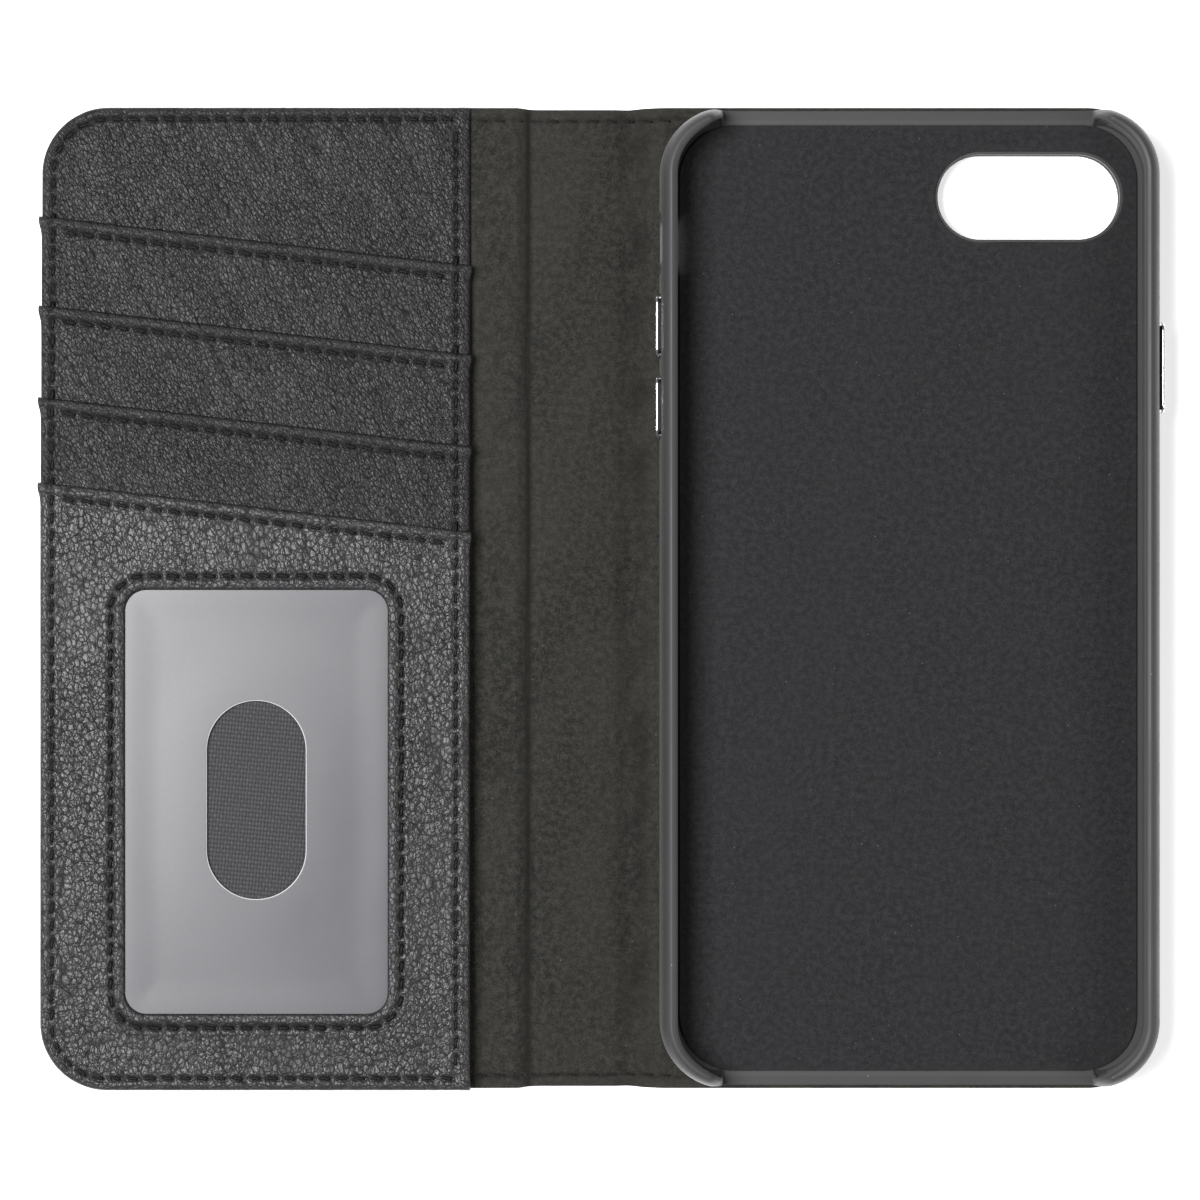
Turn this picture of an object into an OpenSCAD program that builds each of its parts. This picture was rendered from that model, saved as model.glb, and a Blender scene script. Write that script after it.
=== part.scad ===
// Phone wallet case, lying open and flat: cover with card pockets, spine, phone tray.
// X runs across the open case, Y along its height, Z up from the face it lies on.
// The origin is at the centre of the open case, on the surface it lies on.

/* [Phone space] */
// Width of the phone space
phone_w = 77.8; // [62:0.1:95]
// Height of the phone space
phone_h = 157.9; // [130:0.1:190]
// Depth of the phone space under the lip
phone_t = 7.7; // [6.4:0.1:9.5]

/* [Case] */
// Width of the cover, from its edge to the crease
cover_w = 80.1; // [66:0.1:97]
// Radius of the four outer corners
corner_r = 11; // [9:0.5:13.5]
// Free height between the closed pockets and the tray's rim
closed_gap = 1.1; // [0.4:0.1:8]

/* [Sheets] */
// Thickness of the outer leather
leather_t = 1.0; // [0.8:0.05:1.2]
// Thickness of the stiffening boards
board_t = 0.9; // [0.7:0.05:1.1]
// Thickness of the microfibre lining
lining_t = 0.6; // [0.5:0.05:0.75]
// Thickness of the leather on the pockets
strip_t = 0.6; // [0.5:0.05:0.75]
// Thickness of the woven slot linings
fabric_t = 0.2; // [0.15:0.05:0.25]

/* [Pocket panel] */
// Distance from the pocket panel's right edge to the crease
panel_gap = 9.6; // [8:0.1:12]
// How far the four pocket mouths lie below the top edge, at the left edge
mouth_drop = [17.95, 32.65, 47.75, 61.75]; // [10:0.05:75]
// Fall of the mouths per millimetre to the right
mouth_slope = 0.115; // [0:0.005:0.14]
// Width of the window for the identity card
window_w = 43.1; // [36:0.1:52]
// Distance from the window to the bottom edge of the cover
window_margin = 12.55; // [10:0.05:16]
// Width of the thumb slot in the film
thumb_w = 16.2; // [13:0.1:20]
// Height of the thumb slot
thumb_h = 32.5; // [26:0.1:40]
// Distance from one stitch to the next
stitch_pitch = 2.9; // [2.4:0.1:3.5]

/* [Phone tray] */
// Thickness of the side walls
wall_t = 1.95; // [1.6:0.05:2.4]
// How far the rim's lip reaches over the phone
lip_w = 0.9; // [0.7:0.05:1.2]
// How far the end walls run in from the sides before they stop
end_wall_w = 10.35; // [8:0.05:12.5]
// Width of the camera opening
camera_w = 30; // [25:0.5:36]
// Height of the camera opening
camera_h = 14; // [11:0.5:17]
// Length of the slot for the phone's mute switch
switch_len = 10; // [8:0.1:11]
// Height of that slot
switch_h = 5; // [4.4:0.1:5.6]

/* [Buttons] */
// Length of each volume button
volume_len = 10.2; // [8:0.1:12.3]
// Length of the power button
power_len = 14.9; // [12:0.1:18]
// How far the buttons stand out of the wall
button_out = 0.7; // [0.4:0.05:0.9]
// Travel of the buttons
button_travel = 0.35; // [0.2:0.05:0.45]

/* [Hidden] */
$fn = 64;

// Levels above the surface
board_z = leather_t;
lining_z = leather_t + board_t;
lining_top = lining_z + lining_t;
cash_gap = 0.3;
backing_t = 0.5;
backing_z = lining_top + cash_gap;
backing_top = backing_z + backing_t;
film_t = 0.3;
level_count = 4;
shell_floor_t = 1.0;
shell_floor_z = lining_top + shell_floor_t;
tray_lining_t = 0.4;
lining_clear = 0.3;
phone_z = shell_floor_z + tray_lining_t;
lip_z = phone_z + phone_t;
lip_t = 0.9;
rim_z = lip_z + lip_t;
phone_mid_z = phone_z + phone_t / 2;
function strip_z(k) = backing_top + fabric_t + (k - 1) * strip_t;
function strip_top(k) = strip_z(k) + strip_t;

// Creases: beside its axis the sheets lie flat on each other, then rise over the boards
crease_r = (leather_t + lining_t) / 2;
crease_z = crease_r;
crease_gap = 0.05;
crease_flat = 2.0;
crease_ramp = 0.9;
crease_board = crease_flat + crease_ramp;
stiffener_t = 0.5;
spine_w = rim_z - crease_z + strip_top(level_count) - crease_z + closed_gap;

// Places across the case
shell_w = phone_w + 2 * wall_t;
shell_margin = 3.6;
open_w = cover_w + spine_w + shell_margin + shell_w + button_out;
left_x = -open_w / 2;
right_x = open_w / 2 - button_out;
shell_x = right_x - shell_w;
tray_x = right_x - shell_w / 2;
back_right_x = right_x - 0.3;
cover_crease_x = left_x + cover_w;
spine_crease_x = cover_crease_x + spine_w;
panel_right_x = cover_crease_x - panel_gap;

// Places along the case
shell_end_t = 1.25;
shell_h = phone_h + 2 * shell_end_t;
case_h = shell_h + 1.1;
spine_inset = 0.3;
edge_w = 3.4;
edge_clear = 0.1;
strip_under = 6;
function mouth_at(k, x) = case_h / 2 - mouth_drop[k - 1] - mouth_slope * (x - left_x);
function level_at(x, y) =
    y > mouth_at(1, x) ? backing_top :
    y > mouth_at(2, x) ? strip_top(1) :
    y > mouth_at(3, x) ? strip_top(2) :
    y > mouth_at(4, x) ? strip_top(3) : strip_top(4);

// Window and thumb slot
window_x = (left_x + panel_right_x) / 2 + 0.2;
window_top = mouth_at(level_count, window_x) - 13.6;
window_bottom = window_margin - case_h / 2;
window_r = 3.5;
film_lap = 3.0;
thumb_y = (window_top + window_bottom) / 2 + 0.3;
window_stitch_gap = 2.3;

// Stitches
stitch_len = stitch_pitch - 0.8;
stitch_wide = 0.5;
stitch_t = 0.25;
edge_stitch = 2.0;
right_stitch = 2.3;
hem_stitch = 2.3;
spine_stitch = 1.9;

// Tray
cavity_r = corner_r - wall_t;
floor_inset = 2;
end_gap_w = shell_w - 2 * end_wall_w;
end_gap_y = phone_h / 2 - 3;
camera_x = right_x - wall_t - 19;
camera_y = phone_h / 2 - 13;
camera_clear = 0.4;
switch_y = 58;

// Buttons
cap_h = 3.0;
slot_clear = 0.2;
flange_over = 0.8;
flange_t = 0.5;
flange_recess = flange_t + button_travel + 0.15;
rest_gap = 0.05;
nub_t = 0.25;
volume_pitch = volume_len + 3;
volume_y = 37.8;
power_y = 37.6;

leather_tone = [0.25, 0.25, 0.28];
lining_tone = [0.25, 0.24, 0.22];
board_tone = [0.62, 0.58, 0.52];
fabric_tone = [0.2, 0.2, 0.21];
thread_tone = [0.08, 0.08, 0.09];
film_tone = [0.68, 0.67, 0.7, 0.7];
shell_tone = [0.33, 0.33, 0.34];
metal_tone = [0.78, 0.78, 0.8];
rubber_tone = [0.14, 0.14, 0.15];

// A rectangle between two corners, with round corners of radius r
module round_rect(x0, x1, y0, y1, r) {
    translate([x0 + r, y0]) square([x1 - x0 - 2 * r, y1 - y0]);
    translate([x0, y0 + r]) square([x1 - x0, y1 - y0 - 2 * r]);
    for (x = [x0 + r, x1 - r], y = [y0 + r, y1 - r]) translate([x, y]) circle(r);
}

// A slot with full round ends, along X if it is wider than high, else along Y
module stadium(w, h) {
    r = min(w, h) / 2;
    square([w > h ? w - h : w, w > h ? h : h - w], center = true);
    for (s = [1, -1]) translate([s * (w / 2 - r), s * (h / 2 - r)]) circle(r);
}

// A vertical band of the case between two places across it
module band(x0, x1) {
    translate([x0, -case_h]) square([x1 - x0, 2 * case_h]);
}

// Outline of the whole leather, which the cover and the back are cut from
module case_outline(inset = 0) {
    round_rect(left_x + inset, back_right_x - inset, -case_h / 2 + inset, case_h / 2 - inset,
               corner_r - inset);
}

module spine_outline(x0, x1) {
    h = case_h - 2 * spine_inset;
    translate([x0, -h / 2]) square([x1 - x0, h]);
}

module cover_outline(inset = 0) {
    intersection() {
        case_outline(inset);
        band(left_x, cover_crease_x - crease_r - crease_gap);
    }
}

module back_outline(inset = 0) {
    intersection() {
        case_outline(inset);
        band(spine_crease_x + crease_r + crease_gap, back_right_x);
    }
}

module panel_outline(inset = 0) {
    intersection() {
        case_outline(inset);
        band(left_x, panel_right_x - inset);
    }
}

// The part of the plane below a mouth line that is moved down by drop
module below_mouth(k, drop = 0) {
    y0 = mouth_at(k, left_x - 1) - drop;
    y1 = mouth_at(k, panel_right_x + 1) - drop;
    polygon([[left_x - 1, y0], [panel_right_x + 1, y1], [panel_right_x + 1, -case_h],
             [left_x - 1, -case_h]]);
}

// Outline of one pocket's leather: from its mouth to a little below the next mouth
module strip_outline(k) {
    intersection() {
        panel_outline();
        difference() {
            below_mouth(k);
            if (k < level_count) below_mouth(k + 1, strip_under);
        }
    }
}

// The folded edges that carry a raised pocket at the left, at the right and at the bottom
module strip_edges(k) {
    intersection() {
        difference() {
            strip_outline(k);
            panel_outline(edge_w);
        }
        below_mouth(k, strip_under + edge_clear);
    }
}

// The lining's underside beside a crease at x, going left (way -1) or right (way 1):
// flat on the leather, then up a ramp to the height of the board's top
function crease_points(x, way, top) = [[x + way * (crease_r + crease_gap), board_z],
    [x + way * crease_flat, board_z], [x + way * crease_board, top]];

function reversed(list) = [for (i = [len(list) - 1 : -1 : 0]) list[i]];

// Section of a lining whose underside runs through the given points
module lining_section(points) {
    polygon(concat(points, [for (p = reversed(points)) p + [0, lining_t]]));
}

// Runs a section, drawn in X and Z, along the height of the case
module run_along(h) {
    translate([0, h / 2, 0]) rotate([90, 0, 0]) linear_extrude(h) children();
}

// One stitch on a surface at height z, turned by angle a
module stitch(x, y, a, z) {
    translate([x, y, z]) rotate([0, 0, a])
        translate([-stitch_len / 2, -stitch_wide / 2, 0]) cube([stitch_len, stitch_wide, stitch_t]);
}

// A straight row of stitches from p to q, each lying on the highest surface it touches
module stitch_row(p, q) {
    run = norm(q - p);
    count = round(run / stitch_pitch);
    step = (q - p) / count;
    half = step / run * count * stitch_len / 2;
    for (i = [0 : count - 1]) {
        m = p + step * (i + 0.5);
        z = max(level_at(m[0] - half[0], m[1] - half[1]), level_at(m[0] + half[0], m[1] + half[1]));
        stitch(m[0], m[1], atan2(step[1], step[0]), z);
    }
}

// A quarter circle of stitches about c, from angle a0
module stitch_corner(c, r, a0) {
    count = max(1, round(r * PI / 2 / stitch_pitch));
    for (i = [0 : count - 1]) {
        a = a0 + 90 * (i + 0.5) / count;
        x = c[0] + r * cos(a);
        y = c[1] + r * sin(a);
        stitch(x, y, a + 90, level_at(x, y));
    }
}

// A row of stitches along X at height y, on a surface at height z
module flat_row(x0, x1, y, z) {
    count = max(1, round((x1 - x0) / stitch_pitch));
    for (i = [0 : count - 1]) stitch(x0 + (x1 - x0) * (i + 0.5) / count, y, 0, z);
}

module cover_leather() {
    color(leather_tone) {
        linear_extrude(leather_t) cover_outline();
        translate([0, 0, leather_t]) linear_extrude(board_t) difference() {
            intersection() {
                cover_outline();
                band(left_x, cover_crease_x - crease_board);
            }
            intersection() {
                case_outline(edge_w);
                band(left_x, cover_crease_x);
            }
        }
    }
}

module cover_board() {
    color(board_tone) translate([0, 0, board_z]) linear_extrude(board_t) intersection() {
        case_outline(edge_w + edge_clear);
        band(left_x, cover_crease_x - crease_board);
    }
}

module cover_lining() {
    color(lining_tone) intersection() {
        linear_extrude(lining_top + 1) cover_outline();
        run_along(case_h) lining_section(
            concat(crease_points(cover_crease_x, -1, lining_z), [[left_x, lining_z]]));
    }
}

module pocket_backing() {
    color(leather_tone) {
        translate([0, 0, backing_z]) linear_extrude(backing_t) panel_outline();
        translate([0, 0, lining_top]) linear_extrude(cash_gap) difference() {
            panel_outline();
            intersection() {
                case_outline(edge_w);
                band(left_x, panel_right_x + 1);
            }
        }
    }
}

module card_pocket(k) {
    color(leather_tone) {
        translate([0, 0, strip_z(k)]) linear_extrude(strip_t) strip_outline(k);
        translate([0, 0, backing_top]) linear_extrude(strip_z(k) - backing_top) strip_edges(k);
    }
}

module card_pocket_first() {
    card_pocket(1);
}

module card_pocket_second() {
    card_pocket(2);
}

module card_pocket_third() {
    card_pocket(3);
}

// Outline of the window, grown all round by grow
module window_outline(grow) {
    round_rect(window_x - window_w / 2 - grow, window_x + window_w / 2 + grow,
               window_bottom - grow, window_top + grow, window_r + grow);
}

module id_pocket() {
    color(leather_tone) difference() {
        card_pocket(4);
        translate([0, 0, strip_z(4) - 1]) linear_extrude(strip_t + 2) window_outline(0);
    }
}

module id_window_film() {
    color(film_tone) translate([0, 0, strip_z(4) - film_t]) linear_extrude(film_t) difference() {
        window_outline(film_lap);
        translate([window_x, thumb_y]) stadium(thumb_w, thumb_h);
    }
}

// A woven slot lining under pocket k, from behind its leather down to the slot's floor,
// which lies drop below the mouth
module pocket_fabric(k, drop) {
    color(fabric_tone) translate([0, 0, strip_z(k) - fabric_t]) linear_extrude(fabric_t)
        intersection() {
            panel_outline(edge_w + edge_clear);
            difference() {
                below_mouth(k, strip_under + edge_clear);
                below_mouth(k, drop);
            }
        }
}

module pocket_fabric_first() {
    pocket_fabric(1, 84);
}

module pocket_fabric_second() {
    pocket_fabric(2, 84);
}

module pocket_fabric_third() {
    pocket_fabric(3, 120);
}

module panel_stitching() {
    x0 = left_x + edge_stitch;
    x1 = panel_right_x - right_stitch;
    y1 = case_h / 2 - edge_stitch;
    r = corner_r - edge_stitch;
    color(thread_tone) {
        stitch_row([x0, y1 - r], [x0, r - y1]);
        stitch_row([x1, y1 - stitch_pitch / 2], [x1, stitch_pitch / 2 - y1]);
        for (s = [1, -1]) stitch_row([x0 + r, s * y1], [x1, s * y1]);
        stitch_corner([x0 + r, y1 - r], r, 90);
        stitch_corner([x0 + r, r - y1], r, 180);
    }
}

module pocket_stitching() {
    x0 = left_x + edge_stitch + stitch_pitch / 2;
    x1 = panel_right_x - right_stitch - stitch_pitch / 2;
    color(thread_tone) for (k = [1 : level_count])
        stitch_row([x0, mouth_at(k, x0) - hem_stitch], [x1, mouth_at(k, x1) - hem_stitch]);
}

module window_stitching() {
    dx = window_w / 2 - window_r;
    x0 = window_x - dx;
    x1 = window_x + dx;
    y0 = window_bottom + window_r;
    y1 = window_top - window_r;
    r = window_r + window_stitch_gap;
    color(thread_tone) {
        for (x = [x0 - r, x1 + r]) stitch_row([x, y0], [x, y1]);
        for (y = [y0 - r, y1 + r]) stitch_row([x0, y], [x1, y]);
        stitch_corner([x1, y1], r, 0);
        stitch_corner([x0, y1], r, 90);
        stitch_corner([x0, y0], r, 180);
        stitch_corner([x1, y0], r, 270);
    }
}

// The rolled strip of leather and lining that flexes at a crease
module crease_roll(x) {
    translate([x, 0, crease_z]) rotate([90, 0, 0])
        cylinder(h = case_h - 2 * spine_inset, r = crease_r, center = true);
}

module cover_crease() {
    color(leather_tone) crease_roll(cover_crease_x);
}

module spine_crease() {
    color(leather_tone) crease_roll(spine_crease_x);
}

module spine_leather() {
    x0 = cover_crease_x + crease_r + crease_gap;
    x1 = spine_crease_x - crease_r - crease_gap;
    b0 = cover_crease_x + crease_board;
    b1 = spine_crease_x - crease_board;
    color(leather_tone) {
        linear_extrude(leather_t) spine_outline(x0, x1);
        translate([0, 0, leather_t]) linear_extrude(stiffener_t) difference() {
            spine_outline(b0, b1);
            translate([b0 - 1, edge_w - case_h / 2]) square([b1 - b0 + 2, case_h - 2 * edge_w]);
        }
    }
}

module spine_stiffener() {
    b0 = cover_crease_x + crease_board;
    h = case_h - 2 * edge_w - 2 * edge_clear;
    color(board_tone) translate([b0, -h / 2, board_z])
        cube([spine_w - 2 * crease_board, h, stiffener_t]);
}

module spine_lining() {
    top = board_z + stiffener_t;
    color(lining_tone) run_along(case_h - 2 * spine_inset) lining_section(
        concat(crease_points(cover_crease_x, 1, top), reversed(crease_points(spine_crease_x, -1, top))));
}

module spine_stitching() {
    y = case_h / 2 - spine_inset - spine_stitch;
    color(thread_tone) for (s = [1, -1])
        flat_row(cover_crease_x + crease_board, spine_crease_x - crease_board, s * y,
                 board_z + stiffener_t + lining_t);
}

// The camera opening through the tray, the lining, the board and the leather
module camera_outline(grow = 0) {
    translate([camera_x, camera_y]) stadium(camera_w + 2 * grow, camera_h + 2 * grow);
}

module back_leather() {
    color(leather_tone) {
        linear_extrude(leather_t) difference() {
            back_outline();
            camera_outline();
        }
        translate([0, 0, leather_t]) linear_extrude(board_t) difference() {
            intersection() {
                back_outline();
                band(spine_crease_x + crease_board, back_right_x);
            }
            intersection() {
                case_outline(edge_w);
                band(spine_crease_x, back_right_x);
            }
        }
    }
}

module back_board() {
    color(board_tone) translate([0, 0, board_z]) linear_extrude(board_t) difference() {
        intersection() {
            case_outline(edge_w + edge_clear);
            band(spine_crease_x + crease_board, back_right_x);
        }
        camera_outline();
    }
}

module back_lining() {
    color(lining_tone) difference() {
        intersection() {
            linear_extrude(lining_top + 1) back_outline();
            run_along(case_h) lining_section(
                concat(crease_points(spine_crease_x, 1, lining_z), [[back_right_x, lining_z]]));
        }
        linear_extrude(lining_top + 1) camera_outline();
    }
}

module back_stitching() {
    y = case_h / 2 - spine_inset - spine_stitch;
    color(thread_tone) for (s = [1, -1])
        flat_row(spine_crease_x + crease_board, spine_crease_x + crease_board + stitch_pitch,
                 s * y, lining_top);
}

// Section of the shell's wall as distance inwards from its widest line, and height:
// a bulging outside, a rounded rim and a lip that reaches over the phone
module wall_section(t) {
    h = rim_z - lining_top;
    polygon([[1.3, lining_top], [0.5, lining_top + 0.09 * h], [0.1, lining_top + 0.23 * h],
             [0, lining_top + 0.4 * h], [0.1, lining_top + 0.62 * h], [0.45, lining_top + 0.81 * h],
             [0.9, lining_top + 0.93 * h], [t - 0.2, rim_z], [t + lip_w - 0.4, rim_z - 0.05],
             [t + lip_w, rim_z - 0.4], [t + lip_w, lip_z], [t, lip_z], [t, shell_floor_z],
             [4, shell_floor_z], [4, lining_top]]);
}

// A straight wall of the given length along Y, its outside facing -X
module side_wall(length, t) {
    translate([0, length / 2, 0]) rotate([90, 0, 0]) linear_extrude(length) wall_section(t);
}

// A quarter of the wall about its own centre, the outside at corner_r
module corner_wall(t) {
    rotate_extrude(angle = 90) translate([corner_r, 0]) mirror([1, 0]) wall_section(t);
}

module shell_body() {
    dx = shell_w / 2 - corner_r;
    dy = shell_h / 2 - corner_r;
    fx = shell_w / 2 - floor_inset;
    fy = shell_h / 2 - floor_inset;
    translate([0, 0, lining_top]) linear_extrude(shell_floor_t)
        round_rect(-fx, fx, -fy, fy, corner_r - floor_inset);
    translate([-shell_w / 2, 0, 0]) side_wall(2 * dy, wall_t);
    translate([shell_w / 2, 0, 0]) mirror([1, 0, 0]) side_wall(2 * dy, wall_t);
    for (s = [1, -1]) {
        translate([0, s * shell_h / 2, 0]) rotate([0, 0, -s * 90]) side_wall(2 * dx, wall_t);
        for (c = [1, -1]) translate([c * dx, s * dy, 0])
            mirror([c < 0 ? 1 : 0, 0, 0]) mirror([0, s < 0 ? 1 : 0, 0]) corner_wall(wall_t);
    }
}

// The hole for a button in a wall facing -X, its outside at x = 0: a slot for the cap,
// and a wider recess on the inside for the plunger's flange
module button_hole(len) {
    translate([-2, 0, phone_mid_z]) rotate([0, 90, 0])
        linear_extrude(wall_t + 2) stadium(cap_h + 2 * slot_clear, len + 2 * slot_clear);
    translate([wall_t - flange_recess, 0, phone_mid_z]) rotate([0, 90, 0])
        linear_extrude(2 * flange_recess)
            stadium(cap_h + 2 * flange_over + 2 * slot_clear, len + 2 * flange_over + 2 * slot_clear);
}

// Puts what is drawn for a wall at x = 0 on the left or on the right wall of the tray
module on_wall(side, y) {
    translate([side < 0 ? shell_x : right_x, y, 0]) mirror([side < 0 ? 0 : 1, 0, 0]) children();
}

module tray_shell() {
    color(shell_tone) difference() {
        translate([tray_x, 0, 0]) shell_body();
        for (s = [1, -1]) translate([tray_x, s * case_h / 2, shell_floor_z + rim_z / 2])
            cube([end_gap_w, case_h - 2 * end_gap_y, rim_z], center = true);
        translate([0, 0, lining_top - 1]) linear_extrude(shell_floor_t + 1.5) camera_outline();
        for (s = [1, -1]) on_wall(-1, volume_y + s * volume_pitch / 2) button_hole(volume_len);
        on_wall(1, power_y) button_hole(power_len);
        on_wall(-1, switch_y) translate([-2, 0, phone_mid_z]) rotate([0, 90, 0])
            linear_extrude(wall_t + 3) stadium(switch_h, switch_len);
    }
}

module tray_lining() {
    w = phone_w - 2 * (lip_w + lining_clear);
    h = phone_h - 2 * (lip_w + lining_clear);
    color(lining_tone) translate([0, 0, shell_floor_z]) linear_extrude(tray_lining_t) difference() {
        round_rect(tray_x - w / 2, tray_x + w / 2, -h / 2, h / 2, cavity_r);
        camera_outline(camera_clear);
    }
}

// The metal cap of a button in a wall facing -X, its outside at x = 0
module button_cap(len) {
    color(metal_tone) translate([-button_out, 0, phone_mid_z]) rotate([0, 90, 0])
        linear_extrude(button_out + wall_t - flange_recess + rest_gap) stadium(cap_h, len);
}

// The rubber plunger behind a cap: a flange that keeps it in the wall, and a nub
module button_plunger(len) {
    x0 = wall_t - flange_recess + rest_gap;
    color(rubber_tone) {
        translate([x0, 0, phone_mid_z]) rotate([0, 90, 0])
            linear_extrude(flange_t) stadium(cap_h + 2 * flange_over, len + 2 * flange_over);
        translate([x0 + flange_t, 0, phone_mid_z]) rotate([0, 90, 0])
            linear_extrude(nub_t) stadium(cap_h - 1, len / 2);
    }
}

module volume_up_cap() {
    on_wall(-1, volume_y + volume_pitch / 2) button_cap(volume_len);
}

module volume_up_plunger() {
    on_wall(-1, volume_y + volume_pitch / 2) button_plunger(volume_len);
}

module volume_down_cap() {
    on_wall(-1, volume_y - volume_pitch / 2) button_cap(volume_len);
}

module volume_down_plunger() {
    on_wall(-1, volume_y - volume_pitch / 2) button_plunger(volume_len);
}

module power_cap() {
    on_wall(1, power_y) button_cap(power_len);
}

module power_plunger() {
    on_wall(1, power_y) button_plunger(power_len);
}

cover_leather();
cover_board();
cover_lining();
pocket_backing();
card_pocket_first();
card_pocket_second();
card_pocket_third();
id_pocket();
id_window_film();
pocket_fabric_first();
pocket_fabric_second();
pocket_fabric_third();
panel_stitching();
pocket_stitching();
window_stitching();
cover_crease();
spine_leather();
spine_stiffener();
spine_lining();
spine_stitching();
spine_crease();
back_leather();
back_board();
back_lining();
back_stitching();
tray_shell();
tray_lining();
volume_up_cap();
volume_up_plunger();
volume_down_cap();
volume_down_plunger();
power_cap();
power_plunger();
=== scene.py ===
# %% [markdown]
# # A phone wallet case, lying open
# The case is three flat panels in a row: a cover that carries the card pockets, a narrow spine,
# and a back that carries the tray for the phone. The CAD model fixes every size and every joint.
# This file only gives it its looks: leather, suede lining, woven cloth, frosted film, thread,
# a soft-touch moulding and small metal buttons. All lengths are in metres, in the CAD frame:
# +X runs from the cover to the tray, +Y along the case, +Z up out of the pockets.

# %% Load the frame
import bmesh
import bpy
import math
import numpy as np
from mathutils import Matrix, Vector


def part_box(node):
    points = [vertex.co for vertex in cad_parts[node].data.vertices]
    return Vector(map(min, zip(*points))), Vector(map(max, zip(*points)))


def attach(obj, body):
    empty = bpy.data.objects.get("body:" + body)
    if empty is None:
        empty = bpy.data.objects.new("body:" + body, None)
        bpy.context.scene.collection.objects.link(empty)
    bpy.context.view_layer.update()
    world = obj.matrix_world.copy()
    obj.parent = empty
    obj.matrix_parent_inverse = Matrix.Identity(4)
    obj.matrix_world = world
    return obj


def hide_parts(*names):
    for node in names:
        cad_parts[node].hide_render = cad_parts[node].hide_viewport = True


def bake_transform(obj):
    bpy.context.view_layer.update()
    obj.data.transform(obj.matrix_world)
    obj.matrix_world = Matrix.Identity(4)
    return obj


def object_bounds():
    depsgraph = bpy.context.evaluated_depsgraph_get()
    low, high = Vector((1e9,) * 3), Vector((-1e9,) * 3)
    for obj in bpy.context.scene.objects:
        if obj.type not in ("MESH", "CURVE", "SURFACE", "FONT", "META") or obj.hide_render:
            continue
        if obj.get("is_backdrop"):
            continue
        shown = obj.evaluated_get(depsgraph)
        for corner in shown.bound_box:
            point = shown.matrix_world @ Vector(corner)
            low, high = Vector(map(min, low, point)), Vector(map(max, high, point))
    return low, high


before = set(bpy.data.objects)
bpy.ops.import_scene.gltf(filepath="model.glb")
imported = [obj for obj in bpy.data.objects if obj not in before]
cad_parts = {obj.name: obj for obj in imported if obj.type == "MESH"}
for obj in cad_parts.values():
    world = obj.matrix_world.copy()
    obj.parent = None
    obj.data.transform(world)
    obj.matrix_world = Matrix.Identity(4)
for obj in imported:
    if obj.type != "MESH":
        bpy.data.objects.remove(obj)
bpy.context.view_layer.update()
MM = 0.001

# %% [markdown]
# ## Places, read from the frame
# A later piece has to land exactly on the CAD, so each place is read from a node's box and never
# typed twice. The few numbers typed here are the ones that a box can't tell, such as a radius.

# %% Places
def corners(node):
    """The lowest and the highest corner of a CAD node as two plain arrays."""
    return [np.array(corner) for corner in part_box(node)]


LEFT, PANEL_RIGHT = corners("pocket_backing")[0][0], corners("pocket_backing")[1][0]
RIGHT = corners("back_leather")[1][0]
HALF_H = corners("cover_leather")[1][1]
CREASE_1, _, CREASE_Z = np.mean(corners("cover_crease"), axis=0)
CREASE_2 = np.mean(corners("spine_crease"), axis=0)[0]
MID_SPINE = (CREASE_1 + CREASE_2) / 2
SPINE_INSET = HALF_H - corners("spine_leather")[1][1]
CORNER_R = 11 * MM
LEATHER_T = corners("cover_board")[0][2]
TURNED_TOP = corners("cover_leather")[1][2]
LINING_TOP = corners("cover_lining")[1][2]
SPINE_TOP = corners("spine_lining")[1][2]
LINING_T = LINING_TOP - TURNED_TOP
BACKING_TOP = corners("pocket_backing")[1][2]
POCKETS = ["card_pocket_first", "card_pocket_second", "card_pocket_third", "id_pocket"]
POCKET_TOPS = [corners(n)[1][2] for n in POCKETS]
MOUTHS = [corners(n)[1][1] for n in POCKETS]
MOUTH_SLOPE = 0.115
STRIP_T = POCKET_TOPS[1] - POCKET_TOPS[0]
UNDER = 6 * MM
print("creases at", round(CREASE_1 / MM, 2), round(CREASE_2 / MM, 2), "mm; mouths at",
      [round(m / MM, 1) for m in MOUTHS])


def mouth(k, x):
    """Height of pocket mouth k (0 to 3) at x: a line that falls to the right by MOUTH_SLOPE."""
    return MOUTHS[k] - MOUTH_SLOPE * (x - LEFT)


# %% [markdown]
# ## Camera, floor and light
# The case is looked at straight from above, from 70 cm. One big soft light hangs to the upper
# left, near enough to the camera's own direction that satin leather and film shine back from it,
# and the pale surroundings fill the shadows. The floor is plain and almost white.

# %% Camera, floor and light
EYE = (-0.17 * MM, -0.33 * MM, 700 * MM)
VIEW_WIDTH = 198.35 * MM
camera_data = bpy.data.cameras.new("camera")
camera_data.sensor_width = 36
camera_data.lens = camera_data.sensor_width * EYE[2] / VIEW_WIDTH
camera_data.clip_start = 0.01
camera = bpy.data.objects.new("camera", camera_data)
camera.location = EYE
bpy.context.scene.collection.objects.link(camera)
bpy.context.scene.camera = camera
bpy.context.scene.view_settings.view_transform = "Standard"


def soft_light(name, place, size, power):
    """A square light of that size at place, in metres, turned to face the case."""
    data = bpy.data.lights.new(name, "AREA")
    data.size, data.energy = size, power
    lamp = bpy.data.objects.new(name, data)
    lamp.location = place
    toward = -lamp.location
    lamp.rotation_euler = toward.to_track_quat("-Z", "Y").to_euler()
    bpy.context.scene.collection.objects.link(lamp)


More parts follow.
